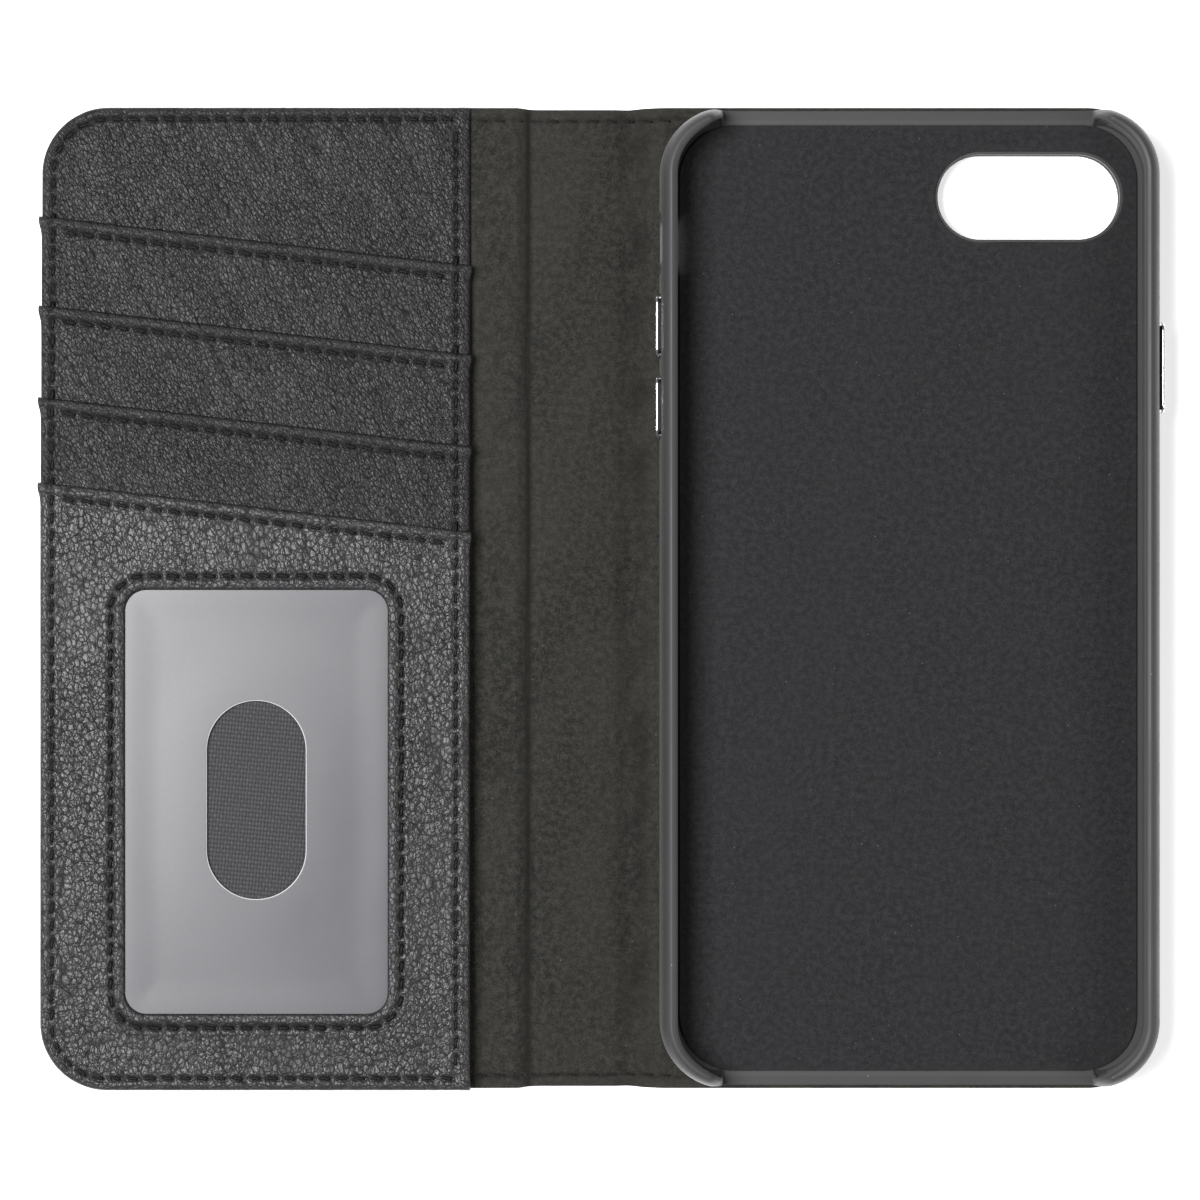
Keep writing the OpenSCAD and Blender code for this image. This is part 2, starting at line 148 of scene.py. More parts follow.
soft_light("key_light", (-0.35, 0.07, 0.74), 0.40, 12)
soft_light("fill_light", (0.6, -0.25, 0.5), 0.35, 2.5)
ROOM_LIGHT = 0.13
world = bpy.data.worlds.new("pale_room")
world.use_nodes = True
surroundings = world.node_tree.nodes["Background"].inputs
surroundings["Color"].default_value = (1, 1, 1, 1)
surroundings["Strength"].default_value = ROOM_LIGHT
bpy.context.scene.world = world
print("lens", round(camera_data.lens, 1), "mm")

# %% [markdown]
# ## From arrays to meshes
# Every new piece is a surface with two parameters. The points are worked out as whole arrays and
# the faces follow from the grid's own order, so nothing here visits points one by one.

# %% Grid and mesh helpers
def grid_faces(rows, cols, wrap_rows=False, wrap_cols=False):
    """Quads of a rows x cols grid; a wrapped direction joins its last line to its first."""
    r = np.arange(rows if wrap_rows else rows - 1)
    c = np.arange(cols if wrap_cols else cols - 1)
    r, c = np.meshgrid(r, c, indexing="ij")
    r2, c2 = (r + 1) % rows, (c + 1) % cols
    quads = np.stack([r * cols + c, r * cols + c2, r2 * cols + c2, r2 * cols + c], axis=-1)
    return quads.reshape(-1, 4)


def make_mesh(name, points, quads, crisp=40, **marks):
    """An object from arrays of points and quads. Doubles are merged, normals point outwards, and
    edges sharper than crisp degrees stay crisp. Each mark becomes a value stored on the points."""
    mesh = bpy.data.meshes.new(name)
    mesh.from_pydata(np.asarray(points, float).reshape(-1, 3), [], np.asarray(quads))
    for key, values in marks.items():
        store = mesh.attributes.new(key, "FLOAT", "POINT")
        store.data.foreach_set("value", np.asarray(values, np.float32).ravel())
    work = bmesh.new()
    work.from_mesh(mesh)
    bmesh.ops.remove_doubles(work, verts=work.verts, dist=2e-6)
    bmesh.ops.dissolve_degenerate(work, edges=work.edges, dist=1e-7)
    bmesh.ops.recalc_face_normals(work, faces=work.faces)
    work.to_mesh(mesh)
    work.free()
    mesh.shade_smooth()
    mesh.set_sharp_from_angle(angle=math.radians(crisp))
    piece = bpy.data.objects.new(name, mesh)
    bpy.context.scene.collection.objects.link(piece)
    return piece


def make_sheet(name, x, y, low, high, ring=False, **marks):
    """A solid between two height maps over one grid; its marks are given for the top alone. The two
    skins are stacked as one tube of rows: the top rows forward, the bottom rows back. On a ring the
    columns run once round a hole, and otherwise the two sides are capped."""
    top, bottom = (np.stack([x, y, z], axis=-1) for z in (high, low))
    points = np.concatenate([top, bottom[::-1]])
    rows, cols = points.shape[:2]
    quads = grid_faces(rows, cols, wrap_rows=True, wrap_cols=ring)
    if not ring:
        i = np.arange(rows // 2 - 1)
        side = np.stack([i, i + 1, rows - 2 - i, rows - 1 - i], axis=-1) * cols
        quads = np.concatenate([quads, side, side + cols - 1])
    both = {key: np.concatenate([values, values[::-1]]) for key, values in marks.items()}
    return make_mesh(name, points, quads, **both)


def spread(start, stop, fine, coarse, near, reach):
    """Numbers from start to stop whose step is fine within reach of the values in near and grows to
    coarse away from them: the step is turned into a density, summed up, and read back evenly."""
    t = np.linspace(start, stop, 4000)
    gap = np.min(np.abs(t[:, None] - np.asarray(near)[None, :]), axis=1)
    step = fine + (coarse - fine) * np.clip((gap - reach) / (3 * reach), 0, 1)
    run = np.concatenate([[0], np.cumsum((t[1:] - t[:-1]) / step[1:])])
    return np.interp(np.linspace(0, run[-1], int(run[-1]) + 2), run, t)


def between(xs, low, high, shares):
    """A grid whose columns stand at xs and run from the line low to the line high by shares."""
    return np.repeat(xs[None, :], len(shares), 0), low + shares[:, None] * (high - low)


def arc_steps(radius, count):
    """How far points spaced evenly on a quarter circle lie from its side: r (1 - cos a)."""
    return radius * (1 - np.cos(np.linspace(0, math.pi / 2, count, endpoint=False)))


def hill(d, width):
    """A smooth bump: 1 where d is 0, fading to 0 over about twice the width."""
    return np.exp(-((d / width) ** 2))


def ridge(d, at, width, height):
    """A hill of that height at that distance, or a groove if it is negative, all in millimetres."""
    return height * MM * hill(d - at * MM, width * MM)


def ease(a, b, v):
    """0 below a, 1 above b, and a smooth S between."""
    t = np.clip((v - a) / (b - a), 0, 1)
    return t * t * (3 - 2 * t)


def ripple(x, y, size, seed, stretch=1.0, count=14):
    """Soft random unevenness from about -1 to 1: a sum of plane waves whose lengths lie around
    size and whose directions and phases come from the seed. stretch makes it longer along Y."""
    rng = np.random.default_rng(seed)
    angle = rng.uniform(0, math.pi, count)
    length = size * rng.uniform(0.6, 1.7, count)
    phase = rng.uniform(0, 2 * math.pi, count)
    total = np.zeros_like(x)
    for a, l, p in zip(angle, length, phase):
        along = x * math.cos(a) + y * math.sin(a) / stretch
        total = total + np.sin(2 * math.pi * along / l + p)
    return total / math.sqrt(2 * count)


def bead(d, radius):
    """Drop of a rounded edge at distance d inside it: a quarter circle of the given radius."""
    t = np.clip(1 - d / radius, 0, 1)
    return radius * (1 - np.sqrt(1 - t * t))


print("a 3 x 3 grid has", len(grid_faces(3, 3)), "faces")

# %% [markdown]
# ## The outline and what lies near it
# Leather work is all about edges: the turned edge, the row of stitches beside it, the pucker
# between two holes. So the distance from any point to the outline is worked out first, as a
# signed distance, and every bead and groove is a function of it.

# %% Outline distances
def box_inside(x, y, x0, x1, y0, y1, r):
    """How far a point lies inside a rectangle with corner radius r: the distance to the corner
    circles or to the straight sides, positive inside."""
    qx = np.abs(x - (x0 + x1) / 2) - (x1 - x0) / 2 + r
    qy = np.abs(y - (y0 + y1) / 2) - (y1 - y0) / 2 + r
    outside = np.hypot(np.maximum(qx, 0), np.maximum(qy, 0))
    return r - outside - np.minimum(np.maximum(qx, qy), 0)


def spine_narrow(x):
    """How far the long edges draw in on the spine: 0 on the panels, SPINE_INSET between creases."""
    return SPINE_INSET * ease(-2 * MM, 2 * MM, x - CREASE_1) * ease(-2 * MM, 2 * MM, CREASE_2 - x)


def case_inside(x, y):
    """Distance inside the outline of the whole open case."""
    return box_inside(x, y, LEFT, RIGHT, -HALF_H, HALF_H, CORNER_R) - spine_narrow(x)


def case_reach(x):
    """Half the height of the case at x: full between the corners and along an arc in them."""
    into = np.clip(np.minimum(x - LEFT, RIGHT - x), 0, CORNER_R)
    arc = np.sqrt(CORNER_R**2 - (CORNER_R - into) ** 2)
    return HALF_H - CORNER_R + arc - spine_narrow(x)


def panel_inside(x, y):
    """Distance inside the pocket panel, which is square at its right side."""
    return np.minimum(case_inside(x, y), PANEL_RIGHT - x)


def hide_columns(fine):
    """Columns across the pocket panel: evenly spaced on the corner's arc at the left, fine near
    the stitches at both sides, and a little wider apart between."""
    rest = spread(LEFT + CORNER_R, PANEL_RIGHT, fine * 0.55, fine, [PANEL_RIGHT], 4.5 * MM)
    return np.concatenate([LEFT + arc_steps(CORNER_R, 34), rest])


print("columns across the panel:", len(hide_columns(0.42 * MM)))

# %% [markdown]
# ## Stitches
# A lockstitch shows as a short thread that dives into a hole at each end. The rows are laid out
# first, because the leather has to know them too: it is pressed down under each thread and puckers
# up between the holes. A stitch is kept as its middle, its direction and its length.

# %% Laying out stitches
PITCH = 2.9 * MM
STITCH = PITCH - 1.1 * MM
SLANT = math.radians(-7)
EDGE_STITCH, RIGHT_STITCH, HEM_STITCH, SPINE_STITCH = 2.0 * MM, 2.3 * MM, 2.3 * MM, 1.9 * MM


def stitch_line(p, q):
    """Stitches between two points as rows of (x, y, angle): evenly spaced, near PITCH apart, and
    each a little slanted, as a machine lays them."""
    p, q = np.array(p, float), np.array(q, float)
    count = max(1, round(float(np.hypot(*(q - p))) / PITCH))
    at = (np.arange(count) + 0.5)[:, None] / count
    return np.column_stack([p + (q - p) * at, np.full(count, SLANT + math.atan2(*(q - p)[::-1]))])


def stitch_arc(centre, r, start):
    """Stitches along a quarter circle that begins at the angle start, in degrees."""
    count = max(1, round(r * math.pi / 2 / PITCH))
    a = np.radians(start + 90 * (np.arange(count) + 0.5) / count)
    return np.column_stack([centre[0] + r * np.cos(a), centre[1] + r * np.sin(a),
                            a + math.pi / 2 + SLANT])


R_IN = CORNER_R - EDGE_STITCH
LINE_X, LINE_Y = LEFT + EDGE_STITCH, HALF_H - EDGE_STITCH
PANEL_X = PANEL_RIGHT - RIGHT_STITCH
panel_rows = np.concatenate([
    stitch_line((LINE_X, LINE_Y - R_IN), (LINE_X, R_IN - LINE_Y)),
    stitch_line((PANEL_X, LINE_Y - PITCH / 2), (PANEL_X, PITCH / 2 - LINE_Y)),
    stitch_line((LINE_X + R_IN, LINE_Y), (PANEL_X, LINE_Y)),
    stitch_line((LINE_X + R_IN, -LINE_Y), (PANEL_X, -LINE_Y)),
    stitch_arc((LINE_X + R_IN, LINE_Y - R_IN), R_IN, 90),
    stitch_arc((LINE_X + R_IN, R_IN - LINE_Y), R_IN, 180)])
HEM_X = (LINE_X + PITCH / 2, PANEL_X - PITCH / 2)
hem_rows = [stitch_line(*[(x, mouth(k, x) - HEM_STITCH) for x in HEM_X]) for k in range(4)]
film_low, film_high = corners("id_window_film")
FILM_LAP = 3.0 * MM
WINDOW = (film_low[0] + FILM_LAP, film_high[0] - FILM_LAP,
          film_low[1] + FILM_LAP, film_high[1] - FILM_LAP)
WINDOW_R = 3.5 * MM
WINDOW_STITCH = 2.3 * MM


def rounded_rows(x0, x1, y0, y1, r, grow):
    """Stitches round a rectangle with corner radius r, at a distance grow outside it."""
    left, right, foot, head = x0 + r, x1 - r, y0 + r, y1 - r
    rows = [stitch_line((x, foot), (x, head)) for x in (x0 - grow, x1 + grow)]
    rows += [stitch_line((left, y), (right, y)) for y in (y0 - grow, y1 + grow)]
    centres = [(right, head), (left, head), (left, foot), (right, foot)]
    rows += [stitch_arc(c, r + grow, 90 * i) for i, c in enumerate(centres)]
    return np.concatenate(rows)


window_rows = rounded_rows(*WINDOW, WINDOW_R, WINDOW_STITCH)
print(len(panel_rows), "stitches round the panel,", sum(map(len, hem_rows)), "along the hems,",
      len(window_rows), "round the window")

# %% [markdown]
# ### What a stitch does to leather
# The thread is pulled tight, so it lies in a little valley of its own and the leather swells beside
# it. The valley is what makes stitching look sewn, and it has to be in the mesh, not only drawn.

# %% The press of a stitch
def press(x, y, rows, depth=0.27 * MM, pucker=0.14 * MM):
    """How far stitches push the leather down at each point: a groove under each thread, a dimple at
    each needle hole, and a pucker that rises between one thread and the next."""
    total = np.zeros_like(x)
    for sx, sy, angle in rows:
        near = (np.abs(x - sx) < 3 * MM) & (np.abs(y - sy) < 3 * MM)
        dx, dy = x[near] - sx, y[near] - sy
        along = np.abs(dx * math.cos(angle) + dy * math.sin(angle))
        across = np.abs(dy * math.cos(angle) - dx * math.sin(angle))
        under = 1 - ease(STITCH / 2 - 0.2 * MM, STITCH / 2 + 0.2 * MM, along)
        hole = hill(np.hypot(along - STITCH / 2, across), 0.32 * MM)
        between = hill(along - PITCH / 2, 0.4 * MM) * hill(across, 0.6 * MM)
        beside = hill(across - 0.85 * MM, 0.5 * MM) * hill(along, 0.8 * MM)
        total[near] += depth * (0.7 * under * hill(across, 0.28 * MM) + 0.8 * hole)
        total[near] -= pucker * (0.7 * between + beside)
    return total


def sew(name, rows, level, radius=0.21 * MM, proud=0.06 * MM, down=1):
    """One piece with a short bent thread for each row of (x, y, angle). A thread is a tube whose
    middle lies at level(x, y) + proud and whose ends dive below the surface, with flat spots
    pressed into its top. down is -1 for stitches seen from below."""
    path = np.linspace(-1, 1, 9)
    turn = np.linspace(0, 2 * math.pi, 6, endpoint=False)
    rows = np.asarray(rows)
    heading = np.stack([np.cos(rows[:, 2]), np.sin(rows[:, 2])], axis=-1)
    side = np.stack([-heading[:, 1], heading[:, 0]], axis=-1)
    half = STITCH / 2 + 0.12 * MM
    middle = rows[:, None, :2] + heading[:, None, :] * (path * half)[None, :, None]
    dive = np.abs(path) ** 5
    thin = radius * (1 - 0.25 * dive)
    lift = proud - dive * 3.1 * radius
    ground = level(middle[..., 0], middle[..., 1])
    ground = ground[:, :1] * (1 - path)[None] / 2 + ground[:, -1:] * (1 + path)[None] / 2
    z = ground + down * lift[None, :]
    ring_side = np.cos(turn)[None, :] * thin[:, None] * 1.12
    ring_up = np.sin(turn)[None, :] * thin[:, None] * 0.9
    xy = middle[:, :, None, :] + side[:, None, None, :] * ring_side[None, :, :, None]
    points = np.concatenate([xy, (z[:, :, None] + ring_up[None])[..., None]], axis=-1)
    count, steps, around = points.shape[:3]
    tube = grid_faces(steps, around, wrap_cols=True)
    ends = np.array([[0, 1, 2, 3], [0, 3, 4, 5]])
    one = np.concatenate([tube, ends[:, ::-1], ends + (steps - 1) * around])
    quads = (one[None] + (np.arange(count) * steps * around)[:, None, None]).reshape(-1, 4)
    run = np.broadcast_to(path[None, :, None], (count, steps, around)) * half / radius
    lay = run + np.broadcast_to(turn[None, None, :], run.shape)
    return make_mesh(name, points, quads, crisp=80, lay=lay)


print("each thread has", 8 * 6 + 4, "faces")

# %% [markdown]
# ## Node helpers
# A material is a small graph. Two helpers keep the writing short: one adds a node and plugs in
# what it is given, the other does sums. A group is built once and placed in many materials.

# %% Node helpers
def rgb(red, green=None, blue=None):
    """An opaque colour; one number alone is a grey."""
    return (red, red if green is None else green, red if blue is None else blue, 1)


def fill(tree, item, inputs):
    """Puts each value, or a link from each socket, into the node's input of that name or number."""
    for key, value in inputs.items():
        if isinstance(value, bpy.types.NodeSocket):
            tree.links.new(value, item.inputs[key])
        else:
            item.inputs[key].default_value = value


def add(tree, kind, inputs=None, out=0, **settings):
    """Adds a node with its settings and inputs. Returns its output of that name or number, or the
    node itself if out is None."""
    item = tree.nodes.new(kind)
    for key, value in settings.items():
        setattr(item, key, value)
    fill(tree, item, inputs or {})
    return item if out is None else item.outputs[out]


def calc(tree, operation, a, b=0.0, c=0.0):
    """One sum on numbers or sockets."""
    return add(tree, "ShaderNodeMath", {0: a, 1: b, 2: c}, operation=operation)


def times(tree, a, b):
    return calc(tree, "MULTIPLY", a, b)


def weighed(tree, first, *others):
    """The sum of (socket, weight) pairs."""
    total = times(tree, *first)
    for value, weight in others:
        total = calc(tree, "MULTIPLY_ADD", value, weight, total)
    return total


def vector(tree, operation, a, b):
    """One sum on vectors or vector sockets."""
    return add(tree, "ShaderNodeVectorMath", {0: a, 1: b}, operation=operation)


def ramp(tree, value, low, high, to_low=0.0, to_high=1.0):
    """Takes value from low..high to to_low..to_high, with soft ends."""
    return add(tree, "ShaderNodeMapRange", {"Value": value, "From Min": low, "From Max": high,
               "To Min": to_low, "To Max": to_high}, interpolation_type="SMOOTHSTEP")


def tint(tree, factor, first, second):
    """A colour between two colours or colour sockets."""
    return add(tree, "ShaderNodeMix", {0: factor, 6: first, 7: second}, out=2, data_type="RGBA")


def layer(tree, colour, amount, share, over):
    """The colour covered by another one, as far as amount times share says."""
    return tint(tree, times(tree, amount, share), colour, over)


def noise(tree, at, scale, detail=3.0, rough=0.5, out="Fac"):
    return add(tree, "ShaderNodeTexNoise", {"Vector": at, "Scale": scale, "Detail": detail,
               "Roughness": rough}, out=out)


def cells(tree, at, scale, feature="DISTANCE_TO_EDGE", out="Distance"):
    return add(tree, "ShaderNodeTexVoronoi", {"Vector": at, "Scale": scale}, out=out,
               feature=feature)


def new_group(name, inputs, outputs):
    """An empty group with a vector input, named number inputs with their usual values, and named
    number outputs. Returns its tree, its inputs and the node that its results go to."""
    tree = bpy.data.node_groups.new(name, "ShaderNodeTree")
    face = tree.interface
    face.new_socket(name="Vector", in_out="INPUT", socket_type="NodeSocketVector")
    for key, value in inputs.items():
        made = face.new_socket(name=key, in_out="INPUT", socket_type="NodeSocketFloat")
        made.default_value = value
    for key in outputs:
        face.new_socket(name=key, in_out="OUTPUT", socket_type="NodeSocketFloat")
    given = add(tree, "NodeGroupInput", out=None).outputs
    return tree, given, add(tree, "NodeGroupOutput", out=None)


def use(tree, group, at, **values):
    """Places a group in a material and returns its outputs."""
    item = add(tree, "ShaderNodeGroup", out=None, node_tree=group)
    fill(tree, item, {"Vector": at, **values})
    return item.outputs


print("node helpers are ready")

# %% [markdown]
# ### Pebbled hide
# The hide's grain is a field of small round cushions that meet in creases. A cushion is 1 less the
# squared distance to a Voronoi cell's centre, and the distance to the cell's edge cuts the crease.
# A little noise bends the cells, finer and longer cells wrinkle them, and their strength comes and
# goes over the hide.

# %% The hide group
hide, given, result = new_group("pebbled_hide", {"Size": 1.0}, ["Height", "Patch"])
at, scale = given["Vector"], calc(hide, "DIVIDE", 1000.0, given["Size"])
BENT_BY = 1.2 * MM
bend = noise(hide, at, times(hide, scale, 0.6), out="Color")
bend = vector(hide, "SUBTRACT", bend, (0.5, 0.5, 0.5))
bent = vector(hide, "ADD", at, vector(hide, "MULTIPLY", bend, (BENT_BY, BENT_BY, BENT_BY)))


def cushions(place, frequency, steep=1.3):
    """Round cushions: 1 less steep times the squared distance to the nearest cell centre."""
    near = cells(hide, place, frequency, "F1")
    return calc(hide, "SUBTRACT", 1.0, times(hide, times(hide, near, near), steep))


crack = ramp(hide, cells(hide, bent, scale), 0.0, 0.13)
drawn = vector(hide, "MULTIPLY", bent, (1.0, 0.3, 1.0))
patch = noise(hide, at, times(hide, scale, 0.09), 4.0)
pore = noise(hide, at, times(hide, scale, 5.0), 2.0)
grain = weighed(hide, (crack, 0.16), (cushions(bent, scale), 0.36),
                (cushions(bent, times(hide, scale, 2.3)), 0.16),
                (cushions(drawn, times(hide, scale, 0.42)), 0.32))
strength = ramp(hide, patch, 0.3, 0.65, 0.6, 1.0)
height = calc(hide, "MULTIPLY_ADD", pore, 0.05, times(hide, grain, strength))
fill(hide, result, {"Height": height, "Patch": patch})
print("hide group:", len(hide.nodes), "nodes")

# %% [markdown]
# ### Suede nap
# Microfibre suede has no grain but a nap: very short fibres that lie in changing directions, so it
# looks cloudy. Fine noise makes the fibres, and two coarser noises the clouds and rubbed places.

# %% The nap group
nap, given, result = new_group("suede_nap", {"Size": 0.12}, ["Height", "Cloud", "Rub"])
at, scale = given["Vector"], calc(nap, "DIVIDE", 1000.0, given["Size"])
fibre = noise(nap, at, scale, 2.0, 0.7)
tuft = noise(nap, at, times(nap, scale, 0.3), 3.0, 0.6)
long_way = add(nap, "ShaderNodeMapping", {"Vector": at, "Scale": (1.0, 0.45, 1.0)})
cloud = noise(nap, long_way, times(nap, scale, 0.026), 5.0, 0.6)
rub = noise(nap, long_way, times(nap, scale, 0.08), 4.0, 0.65)
fill(nap, result, {"Height": weighed(nap, (fibre, 0.6), (tuft, 0.6)),
                   "Cloud": ramp(nap, cloud, 0.35, 0.65), "Rub": ramp(nap, rub, 0.4, 0.7)})
print("nap group:", len(nap.nodes), "nodes")

# %% [markdown]
# ### Plain weave
# Each thread goes over one and under the next. Across a thread the height is a hump; along it,
# it waves up and down, and neighbours wave the other way. The higher of the two threads shows.

# %% The weave group
weave, given, result = new_group("plain_weave", {"Warp": 0.53, "Weft": 0.7}, ["Height", "Over"])
place = add(weave, "ShaderNodeSeparateXYZ", {0: given["Vector"]}, out=None).outputs
u = calc(weave, "DIVIDE", times(weave, place[0], 1000.0), given["Warp"])
v = calc(weave, "DIVIDE", times(weave, place[1], 1000.0), given["Weft"])


def thread(across, along, sign):
    """Hump across one thread plus sign times its wave along it."""
    hump = calc(weave, "SINE", times(weave, calc(weave, "FRACT", across), math.pi))
    cell = calc(weave, "ADD", calc(weave, "FLOOR", across), calc(weave, "SUBTRACT", along, 0.5))
    wave = calc(weave, "COSINE", times(weave, cell, math.pi))
    return calc(weave, "MULTIPLY_ADD", hump, 0.6, times(weave, wave, 0.45 * sign))


warp, weft = thread(u, v, 1), thread(v, u, -1)
fill(weave, result, {"Height": calc(weave, "MAXIMUM", warp, weft),
                     "Over": calc(weave, "GREATER_THAN", warp, weft)})
print("weave group:", len(weave.nodes), "nodes")

# %% [markdown]
# ### Dust
# A dark case always carries a few pale specks. Each Voronoi cell holds one round speck at its
# centre, and a cell's own random colour decides if the speck is there.

# %% The dust group
dust, given, result = new_group("dust", {"Size": 1.5, "Amount": 0.1}, ["Speck"])
at, scale = given["Vector"], calc(dust, "DIVIDE", 1000.0, given["Size"])
spot = ramp(dust, cells(dust, at, scale, "F1"), 0.03, 0.1, 1.0, 0.0)
chance = add(dust, "ShaderNodeSeparateColor", {0: cells(dust, at, scale, "F1", "Color")})
there = calc(dust, "LESS_THAN", chance, given["Amount"])
fill(dust, result, {"Speck": times(dust, spot, there)})
print("dust group:", len(dust.nodes), "nodes")

# %% [markdown]
# ## The finishes
# Every finish reads Object coordinates, so a pattern keeps its size in millimetres on each piece.
# Marks that the mesh carries tell a material where an edge is rubbed, where shade is painted into a
# fold, or how a thread is laid.

# %% Starting a finish
# Near black: painted shade in the leather's creases and the suede's folds, and also the tone of the
# hide's darker patches.
SHADE_AND_PATCH_TONE = rgb(0.003)


def start(name, turn=0.0, stretch=(1.0, 1.0, 1.0), **settings):
    """A material with its shader, and the place on the piece turned and stretched for a pattern.
    The settings are constant values on the shader's own sockets."""
    made = bpy.data.materials.new(name)
    made.use_nodes = True
    tree = made.node_tree
    shader = tree.nodes["Principled BSDF"]
    fill(tree, shader, {key.replace("_", " "): value for key, value in settings.items()})
    coords = add(tree, "ShaderNodeTexCoord", out="Object")
    rotation = (0, 0, math.radians(turn))
    turned = add(tree, "ShaderNodeMapping", {"Vector": coords, "Rotation": rotation})
    return made, tree, shader, vector(tree, "MULTIPLY", turned, stretch)


def connect(tree, shader, colour, rough, height=None, depth=0.0):
    """Plugs colour, roughness and a relief of the given depth in millimetres into the shader."""
    fill(tree, shader, {"Base Color": colour, "Roughness": rough})
    if height is not None:
        bump = {"Height": height, "Distance": depth * MM, "Strength": 1.0}
        fill(tree, shader, {"Normal": add(tree, "ShaderNodeBump", bump)})


def mark(tree, name):
    """The value that the mesh stores under that name."""
    return add(tree, "ShaderNodeAttribute", out="Fac", attribute_name=name)


def dusted(tree, at, colour, size, amount, share, *tone):
    """The colour with specks of the tone in a given amount of its cells."""
    speck = use(tree, dust, at, Size=size, Amount=amount)["Speck"]
    return layer(tree, colour, speck, share, rgb(*tone))


def leather(name, size, depth, turn, stretch, high, rubbed, gloss, shine):
    """Pebbled leather: creases painted near black as shade, cushions of the colour high, lighter
    than the creases in place of their highlights, rubbed edges, roughness from gloss on the
    cushions to 0.7 in the creases, and shine as the strength of what it mirrors."""
    made, tree, shader, at = start(name, turn, (*stretch, 1.0), Specular_IOR_Level=shine)
    skin = use(tree, hide, at, Size=size)
    # 0 in the creases, which get painted shade, 1 on the cushion tops, which keep the colour high
    # in place of their highlights; rubbing also follows the tops
    top_vs_painted_shade = ramp(tree, skin["Height"], 0.1, 0.6)
    wear = times(tree, mark(tree, "wear"), top_vs_painted_shade)
    colour = tint(tree, top_vs_painted_shade, SHADE_AND_PATCH_TONE, rgb(*high))
    colour = layer(tree, colour, ramp(tree, skin["Patch"], 0.3, 0.8), 0.2, SHADE_AND_PATCH_TONE)
    colour = layer(tree, colour, wear, 0.5, rgb(*rubbed))
    unturned = add(tree, "ShaderNodeTexCoord", out="Object")
    colour = dusted(tree, unturned, colour, 2.6, 0.05, 0.5, 0.3)
    rough = ramp(tree, skin["Height"], 0.1, 0.6, 0.7, gloss)
    rough = calc(tree, "MULTIPLY_ADD", wear, 0.06, rough)
    connect(tree, shader, colour, rough, skin["Height"], depth)
    return made


outer_hide = leather("outer_leather", 1.05, 0.4, -24, (1.4, 0.9), (0.028, 0.028, 0.031),
                     (0.05, 0.049, 0.05), 0.31, 0.5)
pocket_hide = leather("pocket_leather", 0.78, 0.3, -30, (1.6, 0.8), (0.014, 0.0135, 0.015),
                      (0.034, 0.033, 0.034), 0.36, 0.24)
frame_hide = leather("frame_leather", 1.0, 0.33, -12, (1.2, 0.9), (0.020, 0.0195, 0.021),
                     (0.036, 0.035, 0.036), 0.35, 0.38)
print("three leathers")

# %% [markdown]
# ### Suede, woven cloth and film
# The lining is a dark olive-brown suede with clouds. The slots are lined with a plain woven cloth.
# The window is a frosted film: nearly opaque, faintly lilac, satin, with a white cut edge that also
# glows faintly, a painted highlight.

# %% Suede, woven cloth and film
def suede(name, dark, light, rubbed):
    """Nap of two tones that meet in clouds, with rubbed places, specks, and painted shade where the
    mesh marks a fold.
    """
    made, tree, shader, at = start(name, 4, Sheen_Weight=0.08, Sheen_Roughness=0.5,
                                   Specular_IOR_Level=0.2)
    pile = use(tree, nap, at, Size=0.3)
    colour = tint(tree, pile["Cloud"], rgb(*dark), rgb(*light))
    colour = layer(tree, colour, pile["Rub"], 0.5, rgb(*rubbed))
    fleck = ramp(tree, pile["Height"], 0.45, 0.8, 0.0, 0.75)
    colour = tint(tree, fleck, colour, rgb(*[c * 2.1 for c in light]))
    colour = layer(tree, colour, mark(tree, "wear"), 0.5, rgb(*[c * 1.5 for c in light]))
    colour = dusted(tree, at, colour, 1.3, 0.13, 0.35, 0.25, 0.25, 0.23)
    # painted shade: the fold mark darkens the first crease, clouds along the second, and the hem's
    # stitched groove
    colour = layer(tree, colour, mark(tree, "fold"), 0.85, SHADE_AND_PATCH_TONE)
    rough = ramp(tree, pile["Cloud"], 0, 1, 0.85, 0.95)
    connect(tree, shader, colour, rough, pile["Height"], 0.12)
    return made


lining_suede = suede("lining_suede", (0.006, 0.006, 0.005), (0.019, 0.0175, 0.015),
                     (0.010, 0.0115, 0.0105))
tray_suede = suede("tray_suede", (0.008, 0.008, 0.009), (0.013, 0.013, 0.014),
                   (0.010, 0.010, 0.011))

slot_cloth, tree, shader, at = start("slot_cloth", 5.5, Specular_IOR_Level=0.35)
cloth = use(tree, weave, at)
lint = noise(tree, at, 2500.0, 3.0, 0.6)
colour = tint(tree, ramp(tree, cloth["Height"], 0.1, 0.9), rgb(0.007, 0.007, 0.008),
              rgb(0.042, 0.041, 0.045))
colour = layer(tree, colour, cloth["Over"], 0.45, rgb(0.024, 0.023, 0.026))
relief = calc(tree, "MULTIPLY_ADD", lint, 0.25, cloth["Height"])
connect(tree, shader, colour, ramp(tree, lint, 0.3, 0.7, 0.6, 0.8), relief, 0.08)

frosted_film, tree, shader, at = start("frosted_film", Specular_IOR_Level=0.55)
frost, haze = noise(tree, at, 2600.0, 2.0, 0.5), noise(tree, at, 45.0, 4.0, 0.6)
colour = tint(tree, haze, rgb(0.060, 0.057, 0.066), rgb(0.078, 0.075, 0.084))
frosted = ramp(tree, frost, 0.35, 0.65, 0.0, 0.1)
colour = tint(tree, frosted, colour, rgb(0.11, 0.107, 0.118))
colour = dusted(tree, at, colour, 4.0, 0.10, 0.6, 0.45, 0.45, 0.46)
connect(tree, shader, colour, ramp(tree, haze, 0.3, 0.7, 0.28, 0.31), frost, 0.0015)

